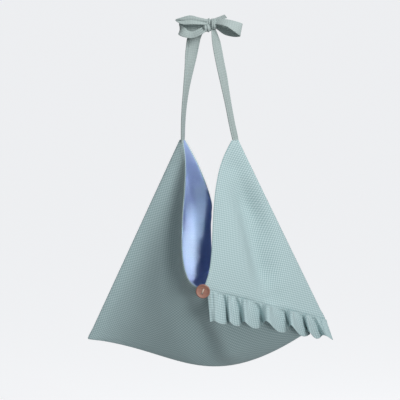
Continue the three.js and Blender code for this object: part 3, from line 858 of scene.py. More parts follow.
@dataclass(frozen=True)
class Stitching:
    """Row of short stitches that lie on a cloth."""

    pitch: float = 0.0034
    length: float = 0.0024
    radius: float = 0.00026
    spread: float = 1.3
    rise: float = 0.35
    look_ahead: float = 0.3

    def sew(self, surface: BVHTree, places: np.ndarray) -> bpy.types.Mesh:
        """Make one row.

        Args:
            surface: Cloth that the stitches lie on.
            places: Line that they follow.

        Returns:
            The row as one mesh.
        """
        bm = bmesh.new()
        steps = np.linalg.norm(np.diff(places, axis=0), axis=1)
        run = np.concatenate([[0.0], np.cumsum(steps)])
        marks = np.arange(self.pitch, run[-1] - self.pitch, self.pitch)
        spots, ahead = (
            np.stack([np.interp(at, run, places[:, k]) for k in range(3)], axis=1)
            for at in (marks, marks + self.look_ahead * self.pitch))
        size = Matrix.Diagonal((0.5 * self.length, self.spread * self.radius, self.radius, 1.0))
        for spot, next_spot in zip(spots, ahead):
            place, normal, _, _ = surface.find_nearest(Vector(spot))
            if place is None:
                continue
            side = (Vector(next_spot) - Vector(spot)).cross(normal).normalized()
            turn = Matrix((normal.cross(side), side, normal)).transposed().to_4x4()
            matrix = Matrix.Translation(place + normal * self.rise * self.radius) @ turn @ size
            bmesh.ops.create_uvsphere(bm, u_segments=6, v_segments=5, radius=1.0, matrix=matrix)
        row = bpy.data.meshes.new("stitch_row")
        bm.to_mesh(row)
        bm.free()
        return row


@dataclass
class BagBody:
    """Outer cloth, lining and topstitching of the folded body."""

    shape: BagShape
    finishes: Finishes
    panel_side: float = 0.240
    cells: int = 56
    sewn_within: float = 1e-5
    outer_thickness: float = 0.0014
    lining_depth: float = 0.0019
    lining_limit: float = 3.0
    lining_thickness: float = 0.0006
    lining_setback: float = 0.0012
    stitching: Stitching = Stitching()
    stitch_inset: float = 0.005
    stitch_span: tuple[float, float] = (0.02, 0.985)
    stitch_line_points: int = 400
    fold_softening: int = 40
    fold_reach: float = 0.24
    fold_taper: float = 0.45
    bottom_softening: int = 1
    crease_softening: int = 1
    crease_reach: float = 0.05
    outline_margin: float = 0.14
    peak_cut: float = 0.164
    corner_reach: float = 0.07
    folds: tuple[SoftFold, ...] = (
        SoftFold(((0.10, 0.98), (0.50, 0.84), (0.88, 0.80), (1.20, 0.67), (1.48, 0.57)), 0.10, -0.011),
        SoftFold(((1.10, 0.94), (1.25, 0.80), (1.52, 0.63)), 0.08, 0.011),
        SoftFold(((0.04, 0.84), (0.09, 0.52), (0.11, 0.10)), 0.05, 0.008),
        SoftFold(((0.00, 0.93), (0.00, 0.40)), 0.05, -0.014),
        SoftFold(((2.88, 0.22), (2.71, 0.46), (2.61, 0.68), (2.48, 0.93)), 0.10, -0.020),
        SoftFold(((2.06, 0.982), (2.94, 0.982)), 0.015, 0.0014),
        SoftFold(((1.06, 0.982), (1.94, 0.982)), 0.015, -0.0014),
    )

    def strip(self) -> bmesh.types.BMesh:
        """Hang the flat strip, sew its edges and soften its folds.

        Returns:
            The sewn cloth, facing out, with its flat places in layers on its points.
        """
        flat = (SQUARES * self.panel_side, self.panel_side)
        bm = cloth_grid(SQUARES * self.cells, self.cells, self.shape.on_shares, flat)
        uv = bm.loops.layers.uv[FLAT_CUT]
        along = bm.verts.layers.float.new("along")
        across = bm.verts.layers.float.new("across")
        for vert in bm.verts:
            cut = vert.link_loops[0][uv].uv
            vert[along] = cut.x / self.panel_side
            vert[across] = cut.y / self.panel_side
        mouth_and_seams = self.split_diagonals(bm, along, across)
        bmesh.ops.remove_doubles(bm, verts=bm.verts, dist=self.sewn_within)
        fixed = {v for v in mouth_and_seams if v.is_valid}
        self.soften(bm, along, across, fixed)
        self.face_out(bm)
        self.raise_folds(bm, along, across)
        self.cut_peaks(bm)
        return bm

    def split_diagonals(self, bm: bmesh.types.BMesh, along: Layer, across: Layer) -> list[bmesh.types.BMVert]:
        """Split the cells on each square's diagonal so that the crease runs along edges.

        Args:
            bm: The hung cloth.
            along: Layer of places along the strip.
            across: Layer of places across it.

        Returns:
            The points on the strip's outline, which stay where they are.
        """
        half = 0.5 / self.cells
        for face in list(bm.faces):
            middle_p = sum(v[along] for v in face.verts) / len(face.verts)
            middle_q = sum(v[across] for v in face.verts) / len(face.verts)
            square = int(middle_p)
            local = middle_p - square
            rising = square == 1
            off_line = abs(local - middle_q) if rising else abs(local + middle_q - 1.0)
            if off_line > half:
                continue
            ordered = sorted(face.verts, key=lambda v: (v[along], v[across]))
            ends = (ordered[0], ordered[3]) if rising else (ordered[1], ordered[2])
            bmesh.utils.face_split(face, *ends)
        return [v for v in bm.verts if v.is_boundary]

    def soften(self, bm: bmesh.types.BMesh, along: Layer, across: Layer, fixed: set) -> None:
        """Round the soft folds, the bottom and the side creases of the cloth.

        Args:
            bm: The sewn cloth.
            along: Layer of places along the strip.
            across: Layer of places across it.
            fixed: Points of the mouth and seams.
        """
        free = [v for v in bm.verts if v not in fixed and not v.is_boundary]
        p = np.array([v[along] for v in free])
        q = np.array([v[across] for v in free])
        front = np.abs(p - 1.0) < self.fold_reach * smooth_step(q, 0.0, self.fold_taper)
        back = np.abs(p - 2.0) < self.fold_reach * smooth_step(1.0 - q, 0.0, self.fold_taper)
        middle = (p >= 1.0) & (p <= 2.0)
        corner = np.minimum(np.hypot(p - 1.0, q), np.hypot(p - 2.0, q - 1.0)) < self.corner_reach
        bottom = middle & ~corner & (np.abs(p - 1.0 - q) < self.crease_reach)
        sides = ~middle & ~corner & (np.abs((p % 1.0) + q - 1.0) < self.crease_reach)
        for chosen, turns in ((front | back, self.fold_softening), (bottom, self.bottom_softening),
                              (sides, self.crease_softening)):
            verts = [v for v, take in zip(free, chosen) if take]
            for _ in range(turns):
                bmesh.ops.smooth_vert(
                    bm, verts=verts, factor=0.5, use_axis_x=True, use_axis_y=True, use_axis_z=True)

    def face_out(self, bm: bmesh.types.BMesh) -> None:
        """Turn the cloth so that its faces point out of the bag.

        Args:
            bm: The sewn cloth.
        """
        bmesh.ops.recalc_face_normals(bm, faces=bm.faces)
        bm.normal_update()
        left = min(bm.faces, key=lambda f: f.calc_center_median().x)
        if left.normal.x > 0:
            bmesh.ops.reverse_faces(bm, faces=bm.faces)
            bm.normal_update()

    def raise_folds(self, bm: bmesh.types.BMesh, along: Layer, across: Layer) -> None:
        """Move the cloth out or in along its soft folds.

        Args:
            bm: The sewn cloth, facing out.
            along: Layer of places along the strip.
            across: Layer of places across it.
        """
        p = np.array([v[along] for v in bm.verts])
        q = np.array([v[across] for v in bm.verts])
        lift = sum((fold.lift(p, q) for fold in self.folds), np.zeros(len(p)))
        middle = (p >= 1.0) & (p <= 2.0)
        crease = np.where(middle, np.abs(p - 1.0 - q), np.abs(p - np.floor(p) + q - 1.0))
        lift = lift * smooth_step(crease, 0.0, self.outline_margin)
        for vert, rise in zip(bm.verts, lift):
            vert.co += vert.normal * float(rise)
        bm.normal_update()

    def cut_peaks(self, bm: bmesh.types.BMesh) -> None:
        """Cut both tips off level, where the straps come out of the cloth.

        Args:
            bm: The finished cloth.
        """
        geometry = [*bm.verts, *bm.edges, *bm.faces]
        level = Vector((0.0, 0.0, -self.peak_cut))
        bmesh.ops.bisect_plane(bm, geom=geometry, plane_co=level, plane_no=(0.0, 0.0, 1.0), clear_outer=True)
        bm.normal_update()

    def declare(self, piece: bpy.types.Object, slot: str, layer: str, rests_on: list[str]) -> None:
        """Attach a strip to the bag and hide the solids that it stands for.

        Args:
            piece: The strip.
            slot: Not used.
            layer: First word of its solids' names.
            rests_on: Not used.
        """
        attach(piece, "bag")
        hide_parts(*(f"{layer}_{panel}" for panel in PANELS))

    def build_outer(self) -> bpy.types.Object:
        """Returns:
            The outer cloth.
        """
        piece = to_object(self.strip(), "outer_cloth", self.finishes.outer)
        thicken(piece, self.outer_thickness, Growth.INWARDS)
        self.declare(piece, "outer_gingham", "outer", ["left_strap", "right_strap"])
        return piece

    def build_lining(self) -> bpy.types.Object:
        """Returns:
            The lining.
        """
        bm = self.strip()
        insets = [v.normal * self.lining_depth * min(v.calc_shell_factor(), self.lining_limit)
                  for v in bm.verts]
        for vert, inset in zip(bm.verts, insets):
            vert.co -= inset
        moves = {}
        for vert in (v for v in bm.verts if v.is_boundary):
            inner = [e.other_vert(vert).co for e in vert.link_edges if not e.is_boundary]
            if inner:
                away = sum(inner, Vector()) / len(inner) - vert.co
                moves[vert] = away.normalized() * self.lining_setback
        for vert, move in moves.items():
            vert.co += move
        piece = to_object(bm, "lining", self.finishes.lining)
        thicken(piece, self.lining_thickness, Growth.INWARDS)
        self.declare(piece, "lining_chambray", "lining", ["outer_cloth"])
        return piece

    def mouth_lines(self) -> list[np.ndarray]:
        """Lines of stitches beside the four mouth edges.

        Returns:
            Flat places on the strip, one array for each edge.
        """
        inset = self.stitch_inset / self.panel_side
        t = np.linspace(*self.stitch_span, self.stitch_line_points)
        low, high = np.full_like(t, inset), np.full_like(t, 1.0 - inset)
        sides = ((t, high), (low, 1.0 - t), (SQUARES - t, low), (SQUARES - low, t))
        return [np.stack(side, axis=1) for side in sides]

    def build_topstitch(self, outer: bpy.types.Object, lining: bpy.types.Object) -> bpy.types.Object:
        """Sew a row of stitches beside the mouth, on the cloth and on the lining.

        Args:
            outer: The outer cloth.
            lining: The lining.

        Returns:
            All stitches as one piece.
        """
        bm = bmesh.new()
        for cloth in (outer, lining):
            surface = surface_of(cloth)
            for line in self.mouth_lines():
                row = self.stitching.sew(surface, self.shape.on_strip(line[:, 0], line[:, 1]))
                bm.from_mesh(row)
                bpy.data.meshes.remove(row)
        piece = to_object(bm, "mouth_topstitch", self.finishes.topstitch)
        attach(piece, "bag")
        return piece


# Ruffle


@dataclass
class Ruffle:
    """Gathered frill in the front seam, whose uneven flutes lean to the right."""

    shape: BagShape
    finishes: Finishes
    drop: float = 0.048
    end_drop: float = 0.031
    start: float = 0.009
    stand_off: float = -0.0005
    thickness: float = 0.0008
    wave: float = 0.012
    wave_power: float = 0.7
    seam_wave: float = 0.0025
    seam_hold: float = 0.08
    valley_power: float = 0.7
    hem_rise: float = 0.011
    hem_shift: float = 1.0
    lean: float = 0.34
    lean_limit: float = 0.85
    room_behind: float = 0.001
    room_in_front: float = 0.002
    fan_start: float = 0.28
    fan_end: float = 0.72
    roll: float = 0.85
    turn: float = 0.15
    widths: tuple[float, ...] = (0.85, 0.65, 1.0, 1.45, 1.05, 0.60, 0.8)
    depths: tuple[float, ...] = (0.2, 0.6, 0.7, 1.2, 1.4, 0.9, 0.8, 0.5)
    last_share: float = 0.6
    gathers: int = 3
    gather_power: float = 0.8
    gather_depth: float = 0.005
    gather_hold: float = 0.12
    gather_reach: float = 0.4
    steps_per_flute: int = 48
    rows: int = 18
    fullness: float = 1.5
    sewn: tuple[float, float] = (0.001, 0.009)

    def axes(self) -> tuple[np.ndarray, np.ndarray, np.ndarray, np.ndarray, float]:
        """Where the ruffle starts and runs.

        Returns:
            Its start, its directions along, out and down, and its length on the seam.
        """
        c = self.shape.corners
        seam = c[Corner.RIGHT_CORNER] - c[Corner.FRONT_NOTCH]
        run = unit(seam)
        out = unit(np.cross(run, np.array([0.0, 0.0, 1.0])))
        down = np.cross(out, run)
        down = down * -np.sign(down[2])
        origin = c[Corner.FRONT_NOTCH] + run * self.start + out * self.stand_off
        return origin, run, out, down, float(np.linalg.norm(seam)) - self.start

    def flute_at(self, u: np.ndarray) -> np.ndarray:
        """Place among the flutes.

        Args:
            u: Shares along the seam.

        Returns:
            Flutes passed, counted from the first.
        """
        ends = np.concatenate([[0.0], np.cumsum(self.widths)]) / sum(self.widths)
        counts = np.arange(len(self.widths) + 1, dtype=float)
        counts[-1] -= 1.0 - self.last_share
        return np.interp(u, ends, counts)

    def place(self, u: np.ndarray, v: np.ndarray) -> np.ndarray:
        """Place of the gathered cloth.

        Args:
            u: Shares along the seam.
            v: Shares of the drop, 0 at the seam.

        Returns:
            One point for each pair.
        """
        origin, run, out, down, length = self.axes()
        flute = self.flute_at(u)
        turn = 2.0 * np.pi * flute
        depth = np.interp(flute, np.arange(len(self.depths)), self.depths)
        crest = 2.0 * (0.5 - 0.5 * np.cos(turn)) ** self.valley_power - 1.0
        wave = (self.seam_wave + (self.wave - self.seam_wave) * v ** self.wave_power) * depth * crest
        drop = self.drop + (self.end_drop - self.drop) * u
        lift = 0.5 * (1.0 + np.cos(turn - self.hem_shift))
        reach = drop * v - self.hem_rise * v ** 2 * depth * lift
        bulge = wave * smooth_step(v, 0.0, self.seam_hold)
        most = self.lean_limit * reach + self.room_in_front
        flare = np.clip(self.lean * reach + bulge, -self.room_behind, most)
        fall = np.sqrt(np.maximum(reach ** 2 - np.maximum(flare, 0.0) ** 2, 0.0))
        fan = self.fan_start + (self.fan_end - self.fan_start) * u
        along = u * length + fan * reach - self.roll * wave
        pleat = 1.0 - np.abs(np.sin(np.pi * self.gathers * flute)) ** self.gather_power
        fade = smooth_step(v, 0.0, self.gather_hold) * np.exp(-v / self.gather_reach)
        tuck = -self.gather_depth * fade * pleat
        front = unit(np.array([self.turn, -1.0, 0.0]))
        place = origin + along[:, None] * run + fall[:, None] * down
        return place + flare[:, None] * front + tuck[:, None] * out

    def build(self) -> bpy.types.Object:
        """Returns:
            The ruffle.
        """
        origin, _, _, down, length = self.axes()
        flat = (self.fullness * length, 0.5 * (self.drop + self.end_drop))
        bm = cloth_grid(len(self.widths) * self.steps_per_flute, self.rows, self.place, flat)
        piece = to_object(bm, "front_ruffle", self.finishes.outer)
        thicken(piece, self.thickness, Growth.BOTH_WAYS)
        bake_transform(piece)
        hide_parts("ruffle")
        return piece


# Straps and bow


@dataclass(frozen=True)
class Station:
    """One place on a band: its middle, its direction across and its width."""

    middle: Point
    across: Point
    width: float


@dataclass
class Band:
    """Flat folded band of cloth that runs through listed stations."""

    name: str
    stations: tuple[Station, ...]
    thickness: float = 0.0016
    columns: int = 60
    rows: int = 10
    cup: float = 0.0
    gather_start: float = 0.0
    gather_end: float = 0.0
    gather_reach: float = 0.12
    pleats: float = 3.0
    creases: tuple[tuple[float, float], ...] = ()
    crease_width: float = 0.05
    probe: float = 0.004
    length_points: int = 200
    least_width: float = 0.01

    def place(self, u: np.ndarray, v: np.ndarray) -> np.ndarray:
        """Place of the band's cloth.

        Args:
            u: Shares along the band.
            v: Shares across it.

        Returns:
            One point for each pair.
        """
        middles = np.array([s.middle for s in self.stations])
        acrosses = np.array([s.across for s in self.stations])
        widths = np.array([[s.width] for s in self.stations])
        middle = through(middles, u)
        run = unit(through(middles, u + self.probe) - through(middles, u - self.probe))
        across = through(acrosses, u)
        across = unit(across - run * (across * run).sum(axis=1, keepdims=True))
        face = np.cross(run, across)
        width = through(widths, u)
        side = (v - 0.5)[:, None]
        fold = np.sin(2 * np.pi * self.pleats * v)[:, None]
        start = self.gather_start * np.exp(-u / self.gather_reach)
        gather = start + self.gather_end * np.exp(-(1 - u) / self.gather_reach)
        lift = self.cup * (1.0 - 4.0 * side ** 2) + gather[:, None] * fold
        for at, depth in self.creases:
            lift = lift + depth * np.exp(-(((v - at) / self.crease_width) ** 2))[:, None]
        return middle + side * width * across + lift * face

    def length(self) -> float:
        """Return the length of the band along its middle."""
        line = through(np.array([s.middle for s in self.stations]), np.linspace(0, 1, self.length_points))
        return float(np.linalg.norm(np.diff(line, axis=0), axis=1).sum())

    def build(self, material: bpy.types.Material) -> bpy.types.Object:
        """Make the band as a thin solid.

        Args:
            material: Its finish.

        Returns:
            The band.
        """
        widest = max(s.width for s in self.stations)
        bm = cloth_grid(self.columns, self.rows, self.place, (self.length(), widest))
        piece = to_object(bm, self.name, material)
        thicken(piece, self.thickness, Growth.BOTH_WAYS)
        return piece

    def declare(self, piece: bpy.types.Object, node: str, held: str) -> None:
        """Hide the solid that the band stands for.

        Args:
            piece: Not used.
            node: Name of the solid.
            held: Not used.
        """
        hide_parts(node)
        self.length()


def turned(x: float, y: float, z: float, turn: float, width: float) -> Station:
    """Station of a hanging strap, turned about the vertical from facing the front."""
    angle = math.radians(turn)
    return Station((x, y, z), (math.cos(angle), math.sin(angle), 0.0), width)


@dataclass(frozen=True)
class Lump:
    """Rounded lump of gathered cloth in the knot, with pleats round it."""

    name: str
    middle: Point
    half: Point
    pleats: int
    stands_for: str = ""
    pleat_depth: float = 0.0006
    pleat_sway: float = 0.8
    end_power: float = 0.85
    ring_power: float = 3.2
    cut_stretch: float = 1.6
    turns: int = 64
    rings: int = 40

    def build(self, material: bpy.types.Material) -> bpy.types.Object:
        """Args:
            material: Its finish.

        Returns:
            The lump.
        """
        bm = bmesh.new()
        bmesh.ops.create_uvsphere(
            bm, u_segments=self.turns, v_segments=self.rings, radius=1.0, calc_uvs=False)
        flat_places = {}
        for vert in bm.verts:
            angle = math.atan2(vert.co.y, vert.co.x)
            along = math.copysign(abs(vert.co.z) ** self.end_power, vert.co.z)
            ring = max(1.0 - abs(along) ** self.ring_power, 0.0) ** 0.5
            sway = self.pleat_sway * math.sin(angle)
            wave = self.pleat_depth * math.sin(self.pleats * math.pi * along + sway) * ring
            y = (self.half[1] * ring + wave) * math.cos(angle)
            z = (self.half[2] * ring + wave) * math.sin(angle)
            flat_places[vert] = (angle, along)
            vert.co = Vector(self.middle) + Vector((self.half[0] * along, y, z))
        self.lay_flat(bm, flat_places)
        bmesh.ops.recalc_face_normals(bm, faces=bm.faces)
        piece = to_object(bm, self.name, material)
        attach(piece, "handle")
        if self.stands_for:
            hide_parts(self.stands_for)
        return piece

    def lay_flat(self, bm: bmesh.types.BMesh,
                 flat_places: dict[bmesh.types.BMVert, tuple[float, float]]) -> None:
        """Give the lump the UV map of its flat cut, in metres.

        Args:
            bm: The lump.
            flat_places: Angle round the lump and share along it of each point.
        """
        uv = bm.loops.layers.uv.new(FLAT_CUT)
        for face in bm.faces:
            angles = [flat_places[loop.vert][0] for loop in face.loops]
            wraps = max(angles) - min(angles) > math.pi
            for loop in face.loops:
                angle, along = flat_places[loop.vert]
                angle += 2 * math.pi if wraps and angle < 0 else 0.0
                loop[uv].uv = (angle * self.half[2], along * self.half[0] * self.cut_stretch)


@dataclass
class Handle:
    """Two straps and the bow that they are tied into."""

    shape: BagShape
    finishes: Finishes
    strap_width: float = 0.020
    hinge_drop: float = 0.166
    bend_above: float = 0.022
    bend_below: float = 0.012
    bow_thickness: float = 0.0011
    knot: tuple[Lump, ...] = (
        Lump("knot_core", (-0.0034, 0.0, 0.0052), (0.0072, 0.0068, 0.0066), 3, "bow_knot"),
        Lump("knot_fold", (-0.0014, 0.0005, 0.0128), (0.0046, 0.0055, 0.0060), 2),
        Lump("knot_wrap", (0.0056, -0.001, 0.0105), (0.0048, 0.0076, 0.0086), 4, "bow_wrap"),
    )

    def left_strap(self) -> Band:
        """Strap that falls behind the left loop and turns edge-on into the left peak.

        Returns:
            The strap.
        """
        w = self.strap_width
        return Band("strap_left", (
            Station((-0.004, 0.0075, 0.007), (0.3, 0.0, -0.95), 0.4 * w),
            Station((-0.014, 0.0115, 0.0035), (0.5, 0.0, -0.85), 0.85 * w),
            Station((-0.0222, 0.0125, -0.008), (0.97, 0.0, -0.2), w),
            turned(-0.0265, 0.011, -0.030, 20, w),
            turned(-0.0300, 0.008, -0.055, 45, w),
            turned(-0.0345, 0.0045, -0.085, 60, 0.92 * w),
            turned(-0.0377, 0.002, -0.113, 66, 0.80 * w),
            turned(-0.0393, 0.0005, -0.138, 66, 0.65 * w),
            turned(-0.0398, 0.0, -0.162, 66, 0.56 * w),
            turned(-0.0402, 0.0, -0.177, 66, 0.36 * w),
        ), columns=90, rows=20, creases=((0.14, -0.0014),), crease_width=0.04)

    def right_strap(self) -> Band:
        """Strap that leaves under the wrap and runs out to the right peak.

        Returns:
            The strap.
        """
        w = self.strap_width
        return Band("strap_right", (
            turned(0.0055, -0.001, 0.004, 40, 0.35 * w),
            turned(0.0078, -0.001, -0.007, 50, 0.75 * w),
            turned(0.0110, 0.0, -0.022, 52, w),
            turned(0.0155, 0.0, -0.046, 52, w),
            turned(0.0205, 0.0, -0.070, 54, w),
            turned(0.0250, 0.0, -0.094, 54, 0.85 * w),
            turned(0.0290, 0.0, -0.115, 50, 0.70 * w),
            turned(0.0333, 0.0, -0.138, 44, 0.62 * w),
            turned(0.0385, 0.0, -0.162, 40, 0.57 * w),
            turned(0.0420, 0.0, -0.176, 40, 0.30 * w),
        ), columns=90, rows=20, gather_start=0.0012, creases=((0.36, -0.0012), (0.88, -0.0010)),
            crease_width=0.04)

    def left_loop(self) -> Band:
        """Lower left loop, open to the front.

        Returns:
            The loop.
        """
        return Band("bow_loop_left", (
            Station((-0.0060, -0.003, 0.0045), (0.0, 0.66, 0.75), 0.008),
            Station((-0.0150, -0.0065, -0.0005), (0.0, 0.72, 0.69), 0.012),
            Station((-0.0260, -0.0085, -0.0045), (0.0, 0.75, 0.66), 0.013),
            Station((-0.0365, -0.0080, -0.0025), (-0.1, 0.62, 0.78), 0.014),
            Station((-0.0435, -0.0040, 0.0018), (-0.1, 0.30, 0.95), 0.0145),
            Station((-0.0452, 0.0005, 0.0038), (0.0, 0.10, 0.99), 0.0145),
            Station((-0.0425, 0.0050, 0.0050), (0.1, 0.15, 0.98), 0.0145),
            Station((-0.0300, 0.0075, 0.0050), (0.0, 0.25, 0.97), 0.014),
            Station((-0.0180, 0.0065, 0.0055), (0.0, 0.30, 0.95), 0.013),
            Station((-0.0060, 0.0030, 0.0075), (0.0, 0.50, 0.85), 0.009),
        ), thickness=self.bow_thickness, rows=14, gather_start=0.0009, gather_end=0.0009, cup=0.0010)

    def right_loop(self) -> Band:
        """Right loop, its front band facing up and its opening to the front below.

        Returns:
            The loop.
        """
        return Band("bow_loop_right", (
            Station((0.0075, -0.003, 0.0142), (0.0, 0.75, 0.66), 0.009),
            Station((0.0180, -0.008, 0.0148), (0.1, 0.8, 0.6), 0.013),
            Station((0.0275, -0.010, 0.0130), (0.15, 0.8, 0.58), 0.016),
            Station((0.0380, -0.008, 0.0080), (0.15, 0.6, 0.78), 0.018),
            Station((0.0458, -0.003, 0.0032), (0.2, 0.3, 0.93), 0.019),
            Station((0.0472, 0.001, 0.0015), (0.2, 0.2, 0.96), 0.019),
            Station((0.0450, 0.005, 0.0), (0.15, 0.25, 0.95), 0.019),
            Station((0.0360, 0.008, -0.0010), (0.1, 0.3, 0.95), 0.018),
            Station((0.0240, 0.008, 0.0005), (0.1, 0.35, 0.93), 0.015),
            Station((0.0150, 0.006, 0.0045), (0.2, 0.4, 0.9), 0.010),
            Station((0.0070, 0.003, 0.0085), (0.2, 0.5, 0.85), 0.007),
        ), thickness=self.bow_thickness, gather_start=0.0009, gather_end=0.0009)

    def left_tail(self) -> Band:
        """Upper left loose end, cut to a point.

        Returns:
            The loose end.
        """
        return Band("bow_tail_left", (
            Station((-0.0030, -0.003, 0.0140), (0.0, 0.5, 0.85), 0.008),
            Station((-0.0160, -0.007, 0.0160), (0.0, 0.6, 0.8), 0.012),
            Station((-0.0280, -0.009, 0.0178), (0.0, 0.55, 0.83), 0.015),
            Station((-0.0390, -0.010, 0.0168), (0.0, 0.4, 0.9), 0.012),
            Station((-0.0470, -0.010, 0.0174), (0.0, 0.3, 0.95), 0.006),
            Station((-0.0508, -0.010, 0.0180), (0.0, 0.3, 0.95), 0.0012),
        ), thickness=self.bow_thickness, columns=40, rows=20, gather_start=0.0008, cup=0.0012,
            creases=((0.70, -0.0030),), crease_width=0.14)

    def right_tail(self) -> Band:
        """Short right loose end behind its loop.

        Returns:
            The loose end.
        """
        return Band("bow_tail_right", (
            Station((0.0065, 0.003, 0.0160), (0.0, 0.95, 0.25), 0.010),
            Station((0.0170, 0.006, 0.0188), (-0.1, 0.94, 0.30), 0.0125),
            Station((0.0245, 0.008, 0.0214), (0.1, 0.90, 0.38), 0.0125),
        ), thickness=self.bow_thickness, columns=24, gather_start=0.0006)

    def build(self) -> list[bpy.types.Object]:
        """Make straps, loops, loose ends and the knot.

        Returns:
            All pieces of the handle.
        """
        pieces = []
        straps = (
            (self.left_strap(), "left_strap", Corner.LEFT_PEAK),
            (self.right_strap(), "right_strap", Corner.RIGHT_PEAK),
        )
        for band, node, peak in straps:
            piece = band.build(self.finishes.strap)
            band.declare(piece, node, "hung")
            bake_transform(piece)
            pieces.append(piece)
        bow = {
            "bow_left_loop": self.left_loop(), "bow_right_loop": self.right_loop(),
            "bow_left_tail": self.left_tail(), "bow_right_tail": self.right_tail(),
        }
        for node, band in bow.items():
            piece = band.build(self.finishes.strap)
            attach(piece, "handle")
            band.declare(piece, node, "folded")
            pieces.append(piece)
        return pieces + [lump.build(self.finishes.strap) for lump in self.knot]


# Button


@dataclass
class SewnButton:
    """Turned wooden button with two holes, and the thread that holds it."""

    finishes: Finishes
    middle: Point = (-0.010, -0.1085, -0.3773)
    radius: float = 0.01075
    half_thickness: float = 0.002
    back_flat_share: float = 0.7
    back_rounding: tuple[tuple[float, float], ...] = ((0.0012, 0.0004), (0.0004, 0.0011))
    widest_at: float = 0.0001
    front_rounding: tuple[tuple[float, float], ...] = ((0.0002, 0.0010), (0.0007, 0.0003))
    rim: float = 0.0026
    dish: float = 0.0011
    dish_slope: tuple[tuple[float, float], ...] = ((0.45, 0.0), (0.8, 0.25), (1.2, 0.8), (1.7, 1.0))
    turns: int = 72
    sharp_angle: float = math.radians(40)
    hole_radius: float = 0.0013
    hole_spacing: float = 0.0066
    hole_tilt: float = 0.35
    thread_radius: float = 0.00042
    strand_shifts: tuple[float, ...] = (-0.0006, -0.00012, 0.00042)
    strand_rise: float = 0.0006
    strand_bend: float = 0.22
    strand_behind: float = 0.001

    def holes(self) -> list[Vector]:
        """Return the middles of the two holes, low one first."""
        tilt = Vector((math.sin(self.hole_tilt), 0.0, math.cos(self.hole_tilt)))
        return [Vector(self.middle) + tilt * (side * self.hole_spacing / 2) for side in (-1, 1)]

    def profile(self) -> list[tuple[float, float]]:
        """Half section of the button, from the middle of its back to the middle of its face.

        Returns:
            Distances from the axis and places along it.
        """
        r, h = self.radius, self.half_thickness
        return [
            (0.0, h), (self.back_flat_share * r, h),
            *((r - inset, h - depth) for inset, depth in self.back_rounding),
            (r, self.widest_at),
            *((r - inset, depth - h) for inset, depth in self.front_rounding),
            *((r - share * self.rim, depth * self.dish - h) for share, depth in self.dish_slope),
            (0.0, self.dish - h),
        ]

    def disc(self) -> bmesh.types.BMesh:
        """Turn the button's profile about its axis.

        Returns:
            The button without its holes.
        """
        bm = bmesh.new()
        verts = [bm.verts.new((x, y, 0.0)) for x, y in self.profile()]
        chain = [bm.edges.new(pair) for pair in zip(verts, verts[1:])]
        bmesh.ops.spin(
            bm, geom=verts + chain, cent=(0, 0, 0), axis=(0, 1, 0), angle=2 * math.pi, steps=self.turns,
            use_merge=True)
        bmesh.ops.remove_doubles(bm, verts=bm.verts, dist=1e-6)
        bmesh.ops.recalc_face_normals(bm, faces=bm.faces)
        bmesh.ops.translate(bm, verts=bm.verts, vec=Vector(self.middle))
        return bm

    def drill(self, place: Vector, number: int) -> bpy.types.Object:
        """Make a round cutter for one hole.

        Args:
            place: Middle of the hole.
            number: Number of the hole.

        Returns:
            The cutter.
        """
        bm = bmesh.new()
        upright = Matrix.Translation(place) @ Matrix.Rotation(math.pi / 2, 4, "X")
        bmesh.ops.create_cone(
            bm, cap_ends=True, segments=32, radius1=self.hole_radius, radius2=self.hole_radius,
            depth=6 * self.half_thickness, matrix=upright)
        return to_object(bm, f"drill_{number}", self.finishes.wood)

    def build(self) -> list[bpy.types.Object]:
        """Make the button and its thread.

        Returns:
            The button and the thread.
        """
        blank = to_object(self.disc(), "button_blank", self.finishes.wood)
        drills = [self.drill(place, number) for number, place in enumerate(self.holes())]
        for cutter in drills:
            cut = blank.modifiers.new(cutter.name, "BOOLEAN")
            cut.operation = "DIFFERENCE"
            cut.object = cutter
            cut.solver = "EXACT"
        button = baked(blank, "wooden_button")
        for cutter in drills:
            bpy.data.objects.remove(cutter)
        button.data.polygons.foreach_set("use_smooth", [True] * len(button.data.polygons))
        button.data.set_sharp_from_angle(angle=self.sharp_angle)
        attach(button, "button")
        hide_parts("button")
        return [button, self.thread()]

    def thread(self) -> bpy.types.Object:
        """Make the strands of thread that cross the face from hole to hole.

        Returns:
            All strands as one piece.
        """
        low, high = self.holes()
        curve = bpy.data.curves.new("strands", "CURVE")
        curve.dimensions = "3D"
        curve.bevel_depth = self.thread_radius
        curve.bevel_resolution = 2
        curve.resolution_u = 6
        face = self.middle[1] - self.half_thickness + self.dish
        behind = self.middle[1] + self.half_thickness + self.strand_behind
        inside, outside, bend = face + self.strand_rise, face - self.strand_rise, self.strand_bend
        route = ((0.0, behind), (0.0, inside), (bend, outside), (1.0 - bend, outside), (1.0, inside),
                 (1.0, behind))
        sideways = Vector((math.cos(self.hole_tilt), 0.0, -math.sin(self.hole_tilt)))
        for shift in self.strand_shifts:
            spline = curve.splines.new("BEZIER")
            spline.bezier_points.add(len(route) - 1)
            for knot, (share, depth) in zip(spline.bezier_points, route):
                place = low.lerp(high, share) + sideways * shift
                knot.co = (place.x, depth, place.z)
                knot.handle_left_type = knot.handle_right_type = "AUTO"
        holder = bpy.data.objects.new("strands", curve)
        bpy.context.scene.collection.objects.link(holder)
        strands = baked(holder, "button_strands")
        strands.data.materials.clear()
        strands.data.materials.append(self.finishes.button_thread)
        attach(strands, "button")
        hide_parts("button_thread")
        return strands


# Studio


